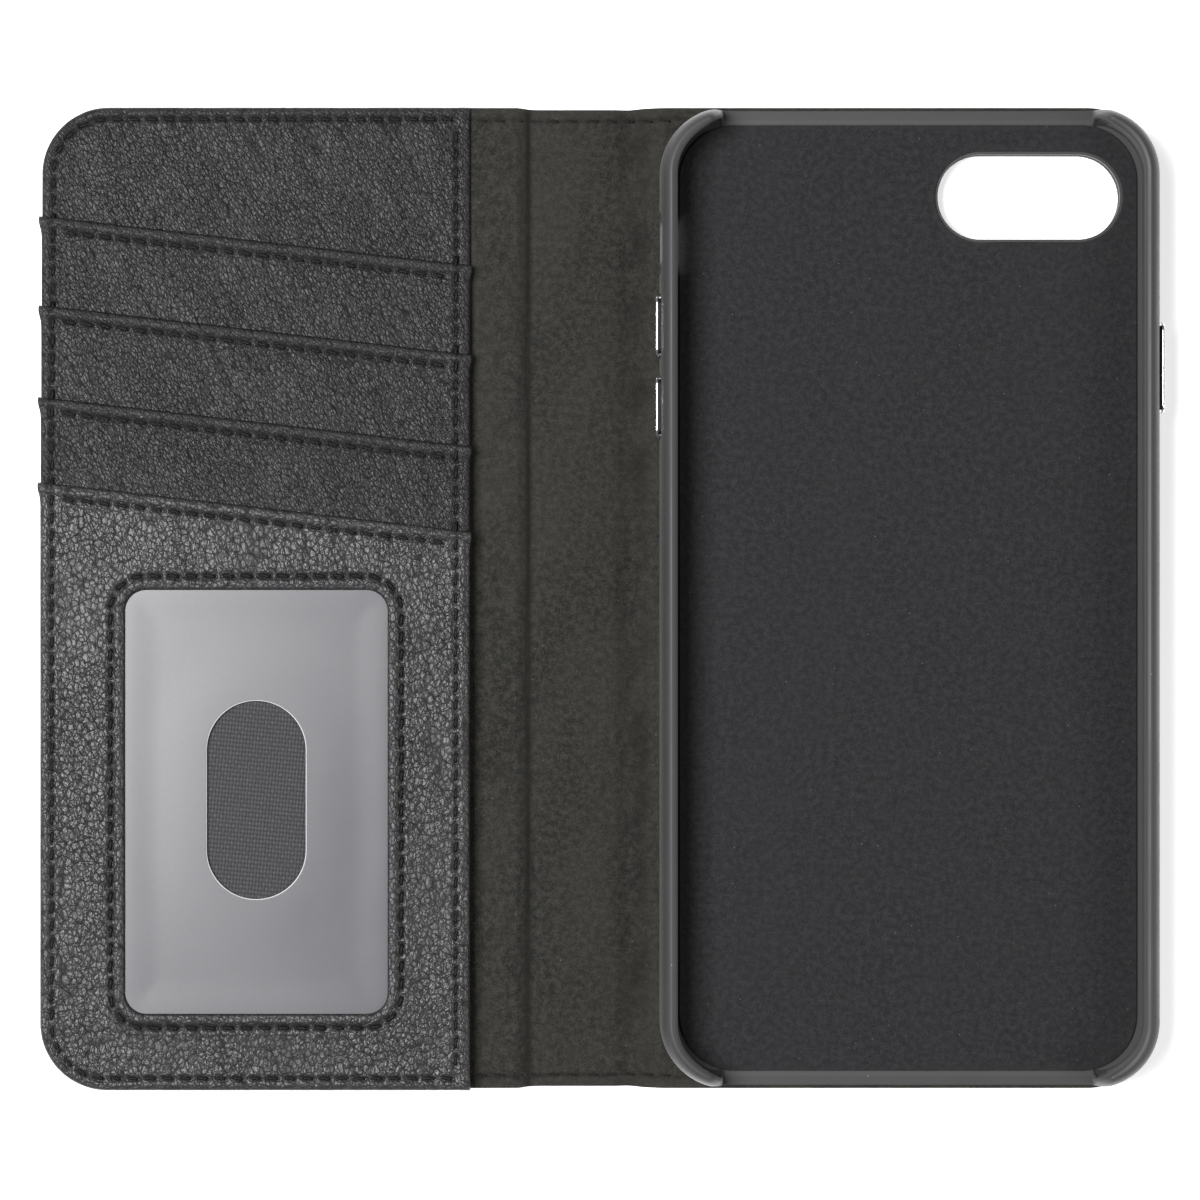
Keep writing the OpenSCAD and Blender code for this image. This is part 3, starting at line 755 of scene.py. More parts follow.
# The pale cut edge also glows faintly: a painted highlight along the thumb slot.
film_edge_glow, tree, shader, at = start("film_cut_edge_painted_glow", Emission_Strength=0.03)
fray = noise(tree, at, 4000.0, 3.0)
pale = tint(tree, fray, rgb(0.35, 0.34, 0.36), rgb(0.62, 0.62, 0.64))
# the pale colour is also given off as light: painted highlight
fill(tree, shader, {"Emission Color": pale})
connect(tree, shader, pale, ramp(tree, fray, 0.2, 0.8, 0.3, 0.5), fray, 0.01)
print("suede, cloth and film")

# %% [markdown]
# ### Thread, board, moulding, metal and rubber
# Thread is two-ply: its lay runs round it like a screw, so its relief is a sine of the mark that
# grows along and around the thread. The shell is a soft-touch moulding: very fine orange peel and
# a few specks. The button caps are bright metal with hair scratches, dark where they are sunk.

# %% Thread, board, moulding, metal and rubber
thread_black, tree, shader, at = start("thread_black", Specular_IOR_Level=0.25)
fuzz = noise(tree, at, 9000.0, 3.0, 0.7)
lay = calc(tree, "SINE", times(tree, mark(tree, "lay"), 2.0))
twist = calc(tree, "MULTIPLY_ADD", lay, 0.4, fuzz)
colour = tint(tree, ramp(tree, twist, 0.1, 1.0), rgb(0.0015), rgb(0.008, 0.008, 0.009))
connect(tree, shader, colour, ramp(tree, fuzz, 0.2, 0.8, 0.5, 0.7), twist, 0.05)

dark_board, tree, shader, at = start("grey_board", 0, (1.0, 0.35, 1.0))
pulp = noise(tree, at, 2200.0, 5.0, 0.65)
colour = tint(tree, pulp, rgb(0.025, 0.024, 0.023), rgb(0.06, 0.058, 0.055))
colour = dusted(tree, at, colour, 0.9, 0.25, 0.6, 0.12, 0.115, 0.11)
connect(tree, shader, colour, ramp(tree, pulp, 0, 1, 0.8, 0.95), pulp, 0.05)

soft_touch, tree, shader, at = start("soft_touch", Sheen_Weight=0.15, Sheen_Roughness=0.4,
                                     Specular_IOR_Level=0.4)
peel, smear = noise(tree, at, 5200.0, 2.0, 0.5), noise(tree, at, 60.0, 4.0, 0.6)
colour = tint(tree, smear, rgb(0.026, 0.026, 0.027), rgb(0.034, 0.034, 0.035))
# lighter along the crest of the rim: on the shell, the mark named wear lies only there
colour = layer(tree, colour, mark(tree, "wear"), 0.3, rgb(0.06, 0.06, 0.061))
colour = dusted(tree, at, colour, 1.9, 0.12, 0.4, 0.3)
connect(tree, shader, colour, ramp(tree, smear, 0.3, 0.7, 0.50, 0.60), peel, 0.02)

bright_metal, tree, shader, at = start("bright_metal", 0, (1.0, 0.06, 1.0), Metallic=1.0)
hair, haze = noise(tree, at, 14000.0, 3.0, 0.6), noise(tree, at, 400.0, 3.0)
sunk = mark(tree, "sunk")
colour = tint(tree, haze, rgb(0.72, 0.72, 0.74), rgb(0.90, 0.90, 0.91))
colour = tint(tree, sunk, colour, rgb(0.012, 0.012, 0.013))
rough = calc(tree, "MULTIPLY_ADD", sunk, 0.35, ramp(tree, hair, 0.2, 0.8, 0.10, 0.28))
connect(tree, shader, colour, rough, hair, 0.004)

button_rubber, tree, shader, at = start("button_rubber")
mould, bloom = noise(tree, at, 2600.0, 3.0), noise(tree, at, 300.0, 3.0)
colour = tint(tree, bloom, rgb(0.018, 0.018, 0.020), rgb(0.034, 0.034, 0.037))
connect(tree, shader, colour, ramp(tree, mould, 0, 1, 0.65, 0.8), mould, 0.03)
print("materials made:", len(bpy.data.materials))

# %% [markdown]
# ## Hanging a piece on the case
# A piece either rides on one body or, if it spans a crease, keeps its place baked into its mesh.
# Near a crease the sheets turn down on each side of its axis; the boards begin just outside that.

# %% Hanging a piece
CREASES = {"cover_fold": ("cover", "spine", CREASE_1), "spine_fold": ("spine", "tray", CREASE_2)}


def fit(piece, body, finish, slot, *nodes):
    """Gives a piece its finish, hangs it on a body, or for a crease bakes its place into its mesh
    and hangs it on none, and hides the CAD nodes that it stands for. slot is not used."""
    if not piece.data.materials:
        piece.data.materials.append(finish)
    if body in CREASES:
        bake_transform(piece)
    else:
        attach(piece, body)
    if nodes:
        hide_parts(*nodes)
    print(piece.name, "has", len(piece.data.polygons), "faces")
    return piece


# %% [markdown]
# ## The outer leather
# One piece of leather wraps the whole case, but it bends at two creases, so it is made as two
# skins that meet in the middle of the spine, each spanning its own crease. The leather is turned
# over the edge of the boards, which gives the edge its round shape, and a stitched channel runs
# along it. Under each crease the leather is pressed into a soft hollow.

# %% The outer leather
def case_grid(x0, x1, crease, row_step, col_step, visible):
    """A grid over part of the case: columns follow the corner arcs, stand close at a crease and in
    the visible stretch; rows run from edge to edge and stand close at the stitches."""
    lo = x0 + (CORNER_R if x0 == LEFT else 0)
    hi = x1 - (CORNER_R if x1 == RIGHT else 0)
    near = [crease] + ([visible[0], sum(visible) / 2, visible[1]] if visible else [])
    reach = (visible[1] - visible[0]) / 3 if visible else 4 * MM
    columns = [spread(lo, hi, 0.36 * MM, col_step, near, reach)]
    if x0 == LEFT:
        columns.insert(0, LEFT + arc_steps(CORNER_R, 30))
    if x1 == RIGHT:
        columns.append((RIGHT - arc_steps(CORNER_R, 30))[::-1])
    xs = np.concatenate(columns)
    half = HALF_H / MM
    shares = spread(-half, half, 0.26, row_step / MM, [-half + 1.5, half - 1.5], 2.8) / half
    return between(xs, 0, case_reach(xs), shares)


def leather_sheet(x, y, crease):
    """Low and high side of the outer leather. Low: 0, rounded up at the edge, with a stitched
    channel and a hollow at the crease. High: the leather's thickness, or up to TURNED_TOP where
    it is turned over the board, but never at the crease."""
    d = case_inside(x, y)
    low = bead(d, 0.85 * MM) + ridge(d - EDGE_STITCH, 0, 0.5, 0.28)
    low = low + ridge(x - crease, 0, 1.3, 0.18) + 0.02 * MM * (1 + ripple(x, y, 7 * MM, 3))
    turned = (1 - ease(3.1 * MM, 3.4 * MM, d)) * ease(2.2 * MM, 3.0 * MM, np.abs(x - crease))
    on_spine = ease(0, 1 * MM, x - CREASE_1) * ease(0, 1 * MM, CREASE_2 - x)
    rise = (TURNED_TOP - LEATHER_T) * (1 - 0.45 * on_spine)
    high = LEATHER_T - 0.05 * MM + turned * rise - bead(d, 0.8 * MM)
    return low, np.maximum(high, low + 0.02 * MM)


def cut(piece, cutters):
    """Cuts each cutter out of the piece with an exact Boolean and removes it."""
    for cutter in cutters:
        step = piece.modifiers.new("cut", "BOOLEAN")
        step.operation, step.solver, step.object = "DIFFERENCE", "EXACT", cutter
        bpy.context.view_layer.update()
        whole = piece.evaluated_get(bpy.context.evaluated_depsgraph_get())
        mesh = bpy.data.meshes.new_from_object(whole)
        piece.modifiers.clear()
        old, piece.data = piece.data, mesh
        bpy.data.meshes.remove(old)
        bpy.data.objects.remove(cutter)
    piece.data.name = piece.name
    return piece


def stadium(width, height, count=48):
    """Points round a slot with full round ends: a circle whose halves are pulled apart."""
    r = min(width, height) / 2
    a = (np.arange(count) + 0.5) / count * 2 * math.pi
    px, py = r * np.cos(a), r * np.sin(a)
    return px + np.sign(px) * (width / 2 - r), py + np.sign(py) * (height / 2 - r)


def prism(name, centre, width, height, levels, along="z"):
    """A closed slot-shaped body. levels are (position, growth) pairs: where each ring stands on
    the axis along, and how much wider than the slot it is."""
    rings = []
    for position, grow in levels:
        px, py = stadium(width + 2 * grow, height + 2 * grow)
        u, v = centre[0] + px, centre[1] + py
        level = np.full_like(u, position)
        rings.append(np.stack([u, v, level] if along == "z" else [level, u, v], axis=-1))
    for index in (0, -1):
        flat = np.broadcast_to(rings[index].mean(0), rings[index].shape)
        rings.insert(0 if index == 0 else len(rings), flat.copy())
    points = np.stack(rings)
    return make_mesh(name, points, grid_faces(*points.shape[:2], wrap_cols=True))


WALL_T, SHELL_RIGHT = 1.95 * MM, RIGHT + 0.3 * MM
CAMERA_HOLE = (SHELL_RIGHT - WALL_T - 19 * MM, 65.95 * MM)
CAMERA_SIZE = (30 * MM, 14 * MM)


def camera_cutter(low, high, soft=0.25 * MM):
    """A cutter for the camera opening whose ends flare a little, which rounds the cut edge."""
    return prism("cutter", CAMERA_HOLE, *CAMERA_SIZE,
                 [(low - MM, soft), (low, soft), (low + soft, 0.0),
                  (high - soft, 0.0), (high, soft), (high + MM, soft)])


HALVES = [("cover", LEFT, MID_SPINE, CREASE_1, "cover_fold"),
          ("back", MID_SPINE, RIGHT, CREASE_2, "spine_fold")]
OUTER_NODES = {"cover": ["cover_leather", "cover_crease"],
               "back": ["back_leather", "spine_crease", "spine_leather"]}
for half, x0, x1, crease, fold in HALVES:
    x, y = case_grid(x0, x1, crease, 1.2 * MM, 1.6 * MM, None)
    skin = make_sheet(half + "_outer_leather", x, y, *leather_sheet(x, y, crease),
                      wear=hill(case_inside(x, y), 0.7 * MM))
    if x1 == RIGHT:
        cut(skin, [camera_cutter(0, LEATHER_T)])
    fit(skin, fold, outer_hide, "outer_leather", *OUTER_NODES[half])

# %% [markdown]
# ### Stitches on the outside
# The same seam shows on the outside as a row of stitches in the channel, all round the case.
# The channel is deep enough that the threads stay just above the surface the case lies on.

# %% Stitches on the outside
for half, x0, x1, _, fold in HALVES:
    at_cover = half == "cover"
    side_x = LINE_X if at_cover else RIGHT - EDGE_STITCH
    corner_x = side_x + (R_IN if at_cover else -R_IN)
    ends = (corner_x, x1 - 0.4 * MM) if at_cover else (x0 + 0.4 * MM, corner_x)
    rows = [stitch_line((side_x, R_IN - LINE_Y), (side_x, LINE_Y - R_IN))]
    for s, first in ((1, 90 if at_cover else 0), (-1, 180 if at_cover else 270)):
        rows.append(stitch_line(*[(end, s * LINE_Y) for end in ends]))
        rows.append(stitch_arc((corner_x, s * (LINE_Y - R_IN)), R_IN, first))
    seam = sew(half + "_outer_stitching", np.concatenate(rows),
               lambda px, py: np.full_like(px, 0.34 * MM), proud=0.1 * MM, down=-1)
    fit(seam, fold, thread_black, "thread")

# %% [markdown]
# ## The suede lining
# One sheet of suede lines the inside, also cut in two at the middle of the spine. It lies on the
# boards, dips to the leather at both creases and rises a little over the stiffened spine. The
# crease by the cover is sharp and the one by the tray broad and rubbed, as suede gets where it is
# folded often; both get painted shade, the one by the tray in clouds. Its top and bottom edges are
# hemmed: a groove with stitches and painted shade, and a raised rim.

# %% The suede lining
def lining_top(x, y):
    """Top of the lining: LINING_TOP over the boards, SPINE_TOP on the spine, down to the crease
    level at each axis, with a fine sharp fold at the first crease, a few soft folds along both,
    a hemmed edge, and a faint unevenness."""
    sunk = LEATHER_T + LINING_T
    left_side = sunk + (LINING_TOP - sunk) * ease(0.4 * MM, 2.1 * MM, CREASE_1 - x)
    right_side = sunk + (LINING_TOP - sunk) * ease(1.6 * MM, 4.2 * MM, x - CREASE_2)
    spine = sunk + (SPINE_TOP - sunk) * (
        ease(0.4 * MM, 1.9 * MM, x - CREASE_1) * ease(1.2 * MM, 4.0 * MM, CREASE_2 - x))
    z = np.where(x < CREASE_1, left_side, np.where(x > CREASE_2, right_side, spine))
    wander = 0.25 * MM * np.sin(y / (9 * MM)) + 0.15 * MM * np.sin(y / (3.7 * MM) + 1)
    z = z + ridge(x - CREASE_1 + 0.1 * MM - wander * 0.4, 0, 0.4, -0.3)
    z = z + ridge(x - CREASE_2, 0, 3.2, 0.07) * ripple(x, y, 4.5 * MM, 11, stretch=2.2)
    z = z + ridge(x - CREASE_1, 0, 2.2, 0.04) * ripple(x, y, 2.4 * MM, 12, stretch=2.0)
    z = z + 0.03 * MM * ripple(x, y, 8 * MM, 13)
    d = case_inside(x, y) - 0.25 * MM
    z = z + ridge(d - SPINE_STITCH, -0.25, 0.4, -0.16)
    return z + ridge(d, 0.8, 0.6, 0.06) - bead(d, 0.35 * MM)


SHELL_LEFT = corners("tray_shell")[0][0]
LINING_NODES = {"cover": (["cover_lining"], []),
                "back": (["back_lining", "spine_lining"], ["spine_stitching", "back_stitching"])}
HEM_ENDS = {"cover": (PANEL_RIGHT + 0.5 * MM, MID_SPINE - 0.3 * MM),
            "back": (MID_SPINE + 0.3 * MM, SHELL_LEFT + 2.6 * MM)}
SEEN = {"cover": (PANEL_RIGHT - MM, MID_SPINE), "back": (MID_SPINE, SHELL_LEFT + 3 * MM)}
HEM_LINE = HALF_H - SPINE_INSET - SPINE_STITCH
for half, x0, x1, crease, joint in HALVES:
    x, y = case_grid(x0, x1, crease, 0.75 * MM, 2.4 * MM, SEEN[half])
    rows = np.concatenate([stitch_line(*[(end, s * HEM_LINE) for end in HEM_ENDS[half]])
                           for s in (1, -1)])
    high = lining_top(x, y) - press(x, y, rows, 0.14 * MM, 0.06 * MM)
    d = case_inside(x, y)
    low = np.minimum(np.maximum(high - LINING_T + 0.05 * MM + bead(d, 0.25 * MM), LEATHER_T),
                     high - 0.04 * MM)
    wear = 0.7 * hill(d - 0.7 * MM, 0.6 * MM) + 0.45 * hill(x - CREASE_2 - 1.5 * MM, 1.5 * MM)
    clouds = ease(-0.6, 0.8, ripple(x, y, 7 * MM, 15, stretch=1.6))
    # fold: where the suede gets painted shade: sharp in the first crease, in clouds along the
    # second, and in the groove of the hem's stitches
    fold = hill(x - CREASE_1 + 0.1 * MM, 0.55 * MM) + 0.45 * hill(x - CREASE_2, 2.2 * MM) * clouds
    fold = np.maximum(fold, 0.5 * hill(d - SPINE_STITCH, 0.35 * MM))
    sheet = make_sheet(half + "_suede_lining", x, y, low, high, wear=wear, fold=fold)
    if x1 == RIGHT:
        cut(sheet, [camera_cutter(TURNED_TOP, LINING_TOP)])
    stands_for, sewn_nodes = LINING_NODES[half]
    fit(sheet, joint, lining_suede, "lining", *stands_for)
    seam = sew(half + "_hem_stitching", rows, lining_top, 0.17 * MM, proud=-0.02 * MM)
    fit(seam, joint, thread_black, "thread", *sewn_nodes)

# %% [markdown]
# ## The pocket panel
# The panel is a backing and four pockets laid over each other like roof tiles, each a strip of
# leather whose top edge is folded back into a hem. A strip is a plate between two height maps over
# its own outline, whose top edge is the slanting mouth. The hem is the part that makes it look
# right: a full round roll at the mouth, a row of stitches pulled into a valley, puckers between
# them, and a thin dark gap where the roll lifts off the pocket behind it.

# %% Shape of the pocket leather
def hide_relief(x, y, seed):
    """Slow unevenness of laid leather: broad swells and some finer creases that lean to the left,
    as pulled hide has."""
    broad = ripple(x, y, 11 * MM, seed)
    fine = np.maximum(ripple(x + 0.3 * y, y, 2.6 * MM, seed + 50, stretch=2.4), 0) ** 2
    return 0.05 * MM * broad - 0.035 * MM * fine


def panel_edge(x, y):
    """Relief along the panel's edge: a round welt, then a stitched channel, for each side."""
    d, right = case_inside(x, y), PANEL_RIGHT - x
    z = ridge(d, 0.9, 0.65, 0.16) + ridge(d - EDGE_STITCH, 0, 0.5, -0.05)
    z = z + ridge(right, 1.1, 0.7, 0.14) + ridge(right - RIGHT_STITCH, 0, 0.5, -0.05)
    return z - bead(np.minimum(d, right), 0.5 * MM)


def hem(d):
    """Relief of a folded edge at distance d inside it: the roll, then the stitched valley."""
    return ridge(d, 0.95, 0.7, 0.26) - bead(d, 0.42 * MM) + ridge(d - HEM_STITCH, 0, 0.5, -0.06)


def mouth_inside(k, x, y):
    """Distance below mouth k, measured square to it."""
    return (mouth(k, x) - y) / math.hypot(1, MOUTH_SLOPE)


def pocket_top(k, x, y):
    """Top of pocket k before it is sewn: its level, a hem at its mouth, the panel's edge and the
    hide's own unevenness; -1 is the backing, which has no hem."""
    if k < 0:
        return BACKING_TOP + panel_edge(x, y) + hide_relief(x, y, 20)
    d = mouth_inside(k, x, y)
    calm = ease(0, 3 * MM, d)
    return (POCKET_TOPS[k] + hem(d) + panel_edge(x, y) * (0.3 + 0.7 * calm)
            + calm * hide_relief(x, y, 21 + k))


def stack_top(x, y):
    """Top of whatever pocket lies uppermost at a point."""
    z = pocket_top(-1, x, y)
    for k in range(4):
        z = np.where(mouth_inside(k, x, y) > 0, pocket_top(k, x, y), z)
    return z


print("first mouth stands", round(STRIP_T / MM, 2), "mm above the pocket behind it")

# %% The backing and the card pockets
sewn_here = np.concatenate([panel_rows, *hem_rows])
TAB = 0.4 * MM
SEEN_BACKING = 32


def tabs(k, x, y):
    """Sideways push of points near both ends of a hem, where the folded edge is thick and stands
    a little over the panel's side: it fades below the mouth and away from the sides."""
    fade = TAB * hill(np.maximum(mouth_inside(k, x, y) - 0.8 * MM, 0), 1.5 * MM)
    return fade * ((1 - ease(0, 5 * MM, PANEL_RIGHT - x)) * 0.6 - (1 - ease(0, 5 * MM, x - LEFT)))


def underside(k, x, y, d, high, bottom):
    """Underside of raised pocket k at bottom, d inside its edge: lifted under the hem so that a
    dark gap shows, and folded down to the backing at the panel's sides and foot, from just below
    the pocket behind it."""
    down = mouth_inside(k, x, y)
    low = bottom + bead(d, 0.25 * MM) + ridge(np.maximum(down, 0), 0, 0.8, 0.16)
    inside = panel_inside(x, y)
    share = 1 - ease(1.2 * MM, 2.4 * MM, inside)
    share = share * ease(UNDER + 0.2 * MM, UNDER + 0.7 * MM, down)
    foot = np.maximum(BACKING_TOP, pocket_top(-1, x, y)) + 0.02 * MM + bead(inside, 0.25 * MM)
    return np.minimum(low + (foot - low) * share, high - 0.05 * MM)


def hem_wear(k, x, y):
    """How rubbed pocket k is: at its mouth, and half as much at the panel's edge."""
    edge = 0.5 * hill(panel_inside(x, y) - 0.4 * MM, 0.7 * MM)
    return np.maximum(edge, hill(mouth_inside(k, x, y) - 0.7 * MM, 0.75 * MM)) if k >= 0 else edge


def pocket(name, k, low_line, bottom):
    """One strip: columns across the panel run from low_line(x) to its mouth, its underside at
    bottom. The part of the backing that the pockets hide has fewer rows."""
    xs = hide_columns(0.42 * MM)
    foot_line, top_line = low_line(xs), mouth(k, xs) if k >= 0 else case_reach(xs)
    span = float((top_line - foot_line).mean()) / MM
    hidden = span - SEEN_BACKING if k < 0 else 0
    rows = spread(hidden, span, 0.24, 0.42, [span - 1.5], 2.2)
    if k < 0:
        rows = np.concatenate([spread(0, hidden, 0.24, 1.9, [0.0], 2.2)[:-1], rows])
    x, y = between(xs, foot_line, top_line, rows / span)
    high = pocket_top(k, x, y) - press(x, y, sewn_here)
    wear = hem_wear(k, x, y)
    if k < 0:
        d = np.minimum(panel_inside(x, y), 1.0)
        low = np.minimum(bottom + bead(d, 0.25 * MM), high - 0.05 * MM)
    else:
        d = np.minimum(panel_inside(x, y), mouth_inside(k, x, y))
        low = underside(k, x, y, d, high, bottom)
        x = x + tabs(k, x, y)
    return make_sheet(name, x, y, low, high, wear=wear)


backing = pocket("pocket_backing_hide", -1, lambda px: -case_reach(px),
                 corners("pocket_backing")[0][2])
fit(backing, "cover", pocket_hide, "pocket_leather", "pocket_backing")
for k in range(3):
    strip = pocket(POCKETS[k] + "_hide", k, lambda px: mouth(k + 1, px) - UNDER,
                   POCKET_TOPS[k] - STRIP_T)
    fit(strip, "cover", pocket_hide, "pocket_leather", POCKETS[k])

# %% [markdown]
# ### The identity card pocket and its window
# The lowest pocket has a window, so its grid runs once round the window instead: each column goes
# from the window's edge straight out to the pocket's edge, at the same angle about the window's
# centre. The film behind it is the same kind of ring round the thumb slot.

# %% Rings round a hole
def even_loop(loop, step):
    """The same closed loop with its longer sides split into steps of about that size."""
    after = np.roll(loop, -1, 0)
    count = np.maximum(1, (np.hypot(*(after - loop).T) / step).astype(int))
    return np.concatenate([p + (q - p) * (np.arange(n) / n)[:, None]
                           for p, q, n in zip(loop, after, count)])


def outline(corner_list, step=0.3 * MM):
    """Points round a closed shape given as its corners with their radii: each corner becomes an
    arc between the tangent points of its two sides, and the sides are split into short steps."""
    shape = np.array([c[:2] for c in corner_list], float)
    before, after = np.roll(shape, 1, 0) - shape, np.roll(shape, -1, 0) - shape
    points = []
    for p, a, b, (_, _, r) in zip(shape, before, after, corner_list):
        if r == 0:
            points.append(p[None])
            continue
        ua, ub = a / np.hypot(*a), b / np.hypot(*b)
        half = math.acos(float(np.clip(ua @ ub, -1, 1))) / 2
        cut_back = r / math.tan(half)
        centre = p + (ua + ub) / np.hypot(*(ua + ub)) * r / math.sin(half)
        v0, v1 = p + ua * cut_back - centre, p + ub * cut_back - centre
        total = math.atan2(v0[0] * v1[1] - v0[1] * v1[0], v0 @ v1)
        t = np.linspace(0, total, max(3, int(abs(total) * r / step) + 2))
        c, s = np.cos(t), np.sin(t)
        points.append(centre + np.stack([v0[0] * c - v0[1] * s, v0[0] * s + v0[1] * c], axis=-1))
    return even_loop(np.concatenate(points), step)


def ring_grid(inner, outer, centre, shares):
    """Columns at the angles of the outer loop's points, from the inner loop (share 0) to the outer
    loop (share 1), along straight rays from centre. Both loops run anticlockwise."""
    out = outer - centre
    angle = np.unwrap(np.arctan2(out[:, 1], out[:, 0]))
    inn = inner - centre
    a_in = np.mod(np.arctan2(inn[:, 1], inn[:, 0]), 2 * math.pi)
    order = np.argsort(a_in)
    r_in = np.interp(np.mod(angle, 2 * math.pi), a_in[order], np.hypot(*inn.T)[order],
                     period=2 * math.pi)
    r = r_in[None] + (np.hypot(*out.T) - r_in)[None] * shares[:, None]
    return centre[0] + r * np.cos(angle)[None], centre[1] + r * np.sin(angle)[None]


def slot_loop(width, height, middle, step):
    """Points round a slot with full round ends, its straight sides split into short steps."""
    return even_loop(np.stack(stadium(width, height, 160), axis=-1) + np.array(middle), step)


def slot_outside(x, y, width, height, middle):
    """Distance outside a slot with full round ends."""
    r = min(width, height) / 2
    qx = np.maximum(np.abs(x - middle[0]) - (width / 2 - r), 0)
    qy = np.maximum(np.abs(y - middle[1]) - (height / 2 - r), 0)
    return np.hypot(qx, qy) - r


def box_corners(x0, x1, y0, y1, r):
    """The four corners of a rectangle, anticlockwise, each with radius r."""
    return [(x0, y0, r), (x1, y0, r), (x1, y1, r), (x0, y1, r)]


id_outline = outline([(LEFT, -HALF_H, CORNER_R), (PANEL_RIGHT, -HALF_H, 0),
                      (PANEL_RIGHT, mouth(3, PANEL_RIGHT), 0), (LEFT, mouth(3, LEFT), 0)], 0.4 * MM)
window_loop = outline(box_corners(*WINDOW, WINDOW_R))
centre = np.array([(WINDOW[0] + WINDOW[1]) / 2, (WINDOW[2] + WINDOW[3]) / 2])
x, y = ring_grid(window_loop, id_outline, centre, spread(0, 1, 0.014, 0.03, [0.05, 0.92], 0.12))
d_window = -box_inside(x, y, *WINDOW, WINDOW_R)
high = pocket_top(3, x, y) - press(x, y, np.concatenate([sewn_here, window_rows]))
high = high + ridge(d_window, 0.95, 0.7, 0.18) - bead(d_window, 0.4 * MM)
high = high + ridge(d_window - WINDOW_STITCH, 0, 0.55, -0.18)
d = np.minimum(np.minimum(panel_inside(x, y), mouth_inside(3, x, y)), d_window)
low = underside(3, x, y, d, high, POCKET_TOPS[3] - STRIP_T)
wear = np.maximum(hem_wear(3, x, y), 0.7 * hill(d_window - 0.5 * MM, 0.6 * MM))
id_hide = make_sheet("id_pocket_hide", x + tabs(3, x, y), y, low, high, ring=True, wear=wear)
fit(id_hide, "cover", frame_hide, "pocket_leather", "id_pocket")

# %% [markdown]
# ### The film
# The film lies just under the leather and shows in the window. Its thumb slot was punched, which
# leaves a crisp pale edge: a narrow band of its own on the mesh, with its own finish, which also
# glows faintly as a painted highlight.

# %% The film
THUMB = (16.2 * MM, 32.5 * MM)
PALE_BAND = 0.12 * MM
thumb_centre = np.array([centre[0], centre[1] + 0.3 * MM])
film_loop = outline(box_corners(film_low[0], film_high[0], film_low[1], film_high[1],
                                WINDOW_R + FILM_LAP), 0.6 * MM)
shares = np.concatenate([[0, 0.003, 0.006, 0.010, 0.02, 0.03], np.linspace(0.06, 1, 24)])
x, y = ring_grid(slot_loop(*THUMB, thumb_centre, 0.5 * MM), film_loop, thumb_centre, shares)
d_slot = slot_outside(x, y, *THUMB, thumb_centre)
sag = -0.06 * MM * ease(0, 12 * MM, d_slot) * ease(0, 6 * MM, box_inside(x, y, *WINDOW, WINDOW_R))
high = film_high[2] - 0.01 * MM + sag - bead(d_slot, 0.1 * MM)
low = film_low[2] + 0.02 * MM + sag
film = make_sheet("frosted_window_film", x, y, low, np.maximum(high, low + 0.05 * MM), ring=True)
film.data.materials.append(frosted_film)
film.data.materials.append(film_edge_glow)
face_middle = np.empty(len(film.data.polygons) * 3)
film.data.polygons.foreach_get("center", face_middle)
to_slot = slot_outside(face_middle[0::3], face_middle[1::3], *THUMB, thumb_centre)
film.data.polygons.foreach_set("material_index", (to_slot < PALE_BAND).astype(np.int32))
fit(film, "cover", frosted_film, "film", "id_window_film")

# %% [markdown]
# ### The woven slot linings
# Behind each pocket hangs a thin woven cloth that makes the slot's back. Only one shows, through
# the thumb slot, so that one has its weave in the mesh there: the height of the upper thread.

# %% The woven slot linings
WARP, WEFT, SKEW = 0.53 * MM, 0.70 * MM, math.radians(5.5)
FOLD_IN = CORNER_R - 3.5 * MM


def woven(x, y):
    """Height of a plain weave from -0.5 to 1: a hump across each thread, plus a wave along it that
    changes sign from thread to thread; the higher thread counts."""
    u = (x * math.cos(SKEW) - y * math.sin(SKEW)) / WARP
    v = (x * math.sin(SKEW) + y * math.cos(SKEW)) / WEFT
    warp = 0.6 * np.abs(np.sin(math.pi * u)) + 0.45 * np.cos(math.pi * (v - 0.5 + np.floor(u)))
    weft = 0.6 * np.abs(np.sin(math.pi * v)) - 0.45 * np.cos(math.pi * (u - 0.5 + np.floor(v)))
    return np.maximum(warp, weft)


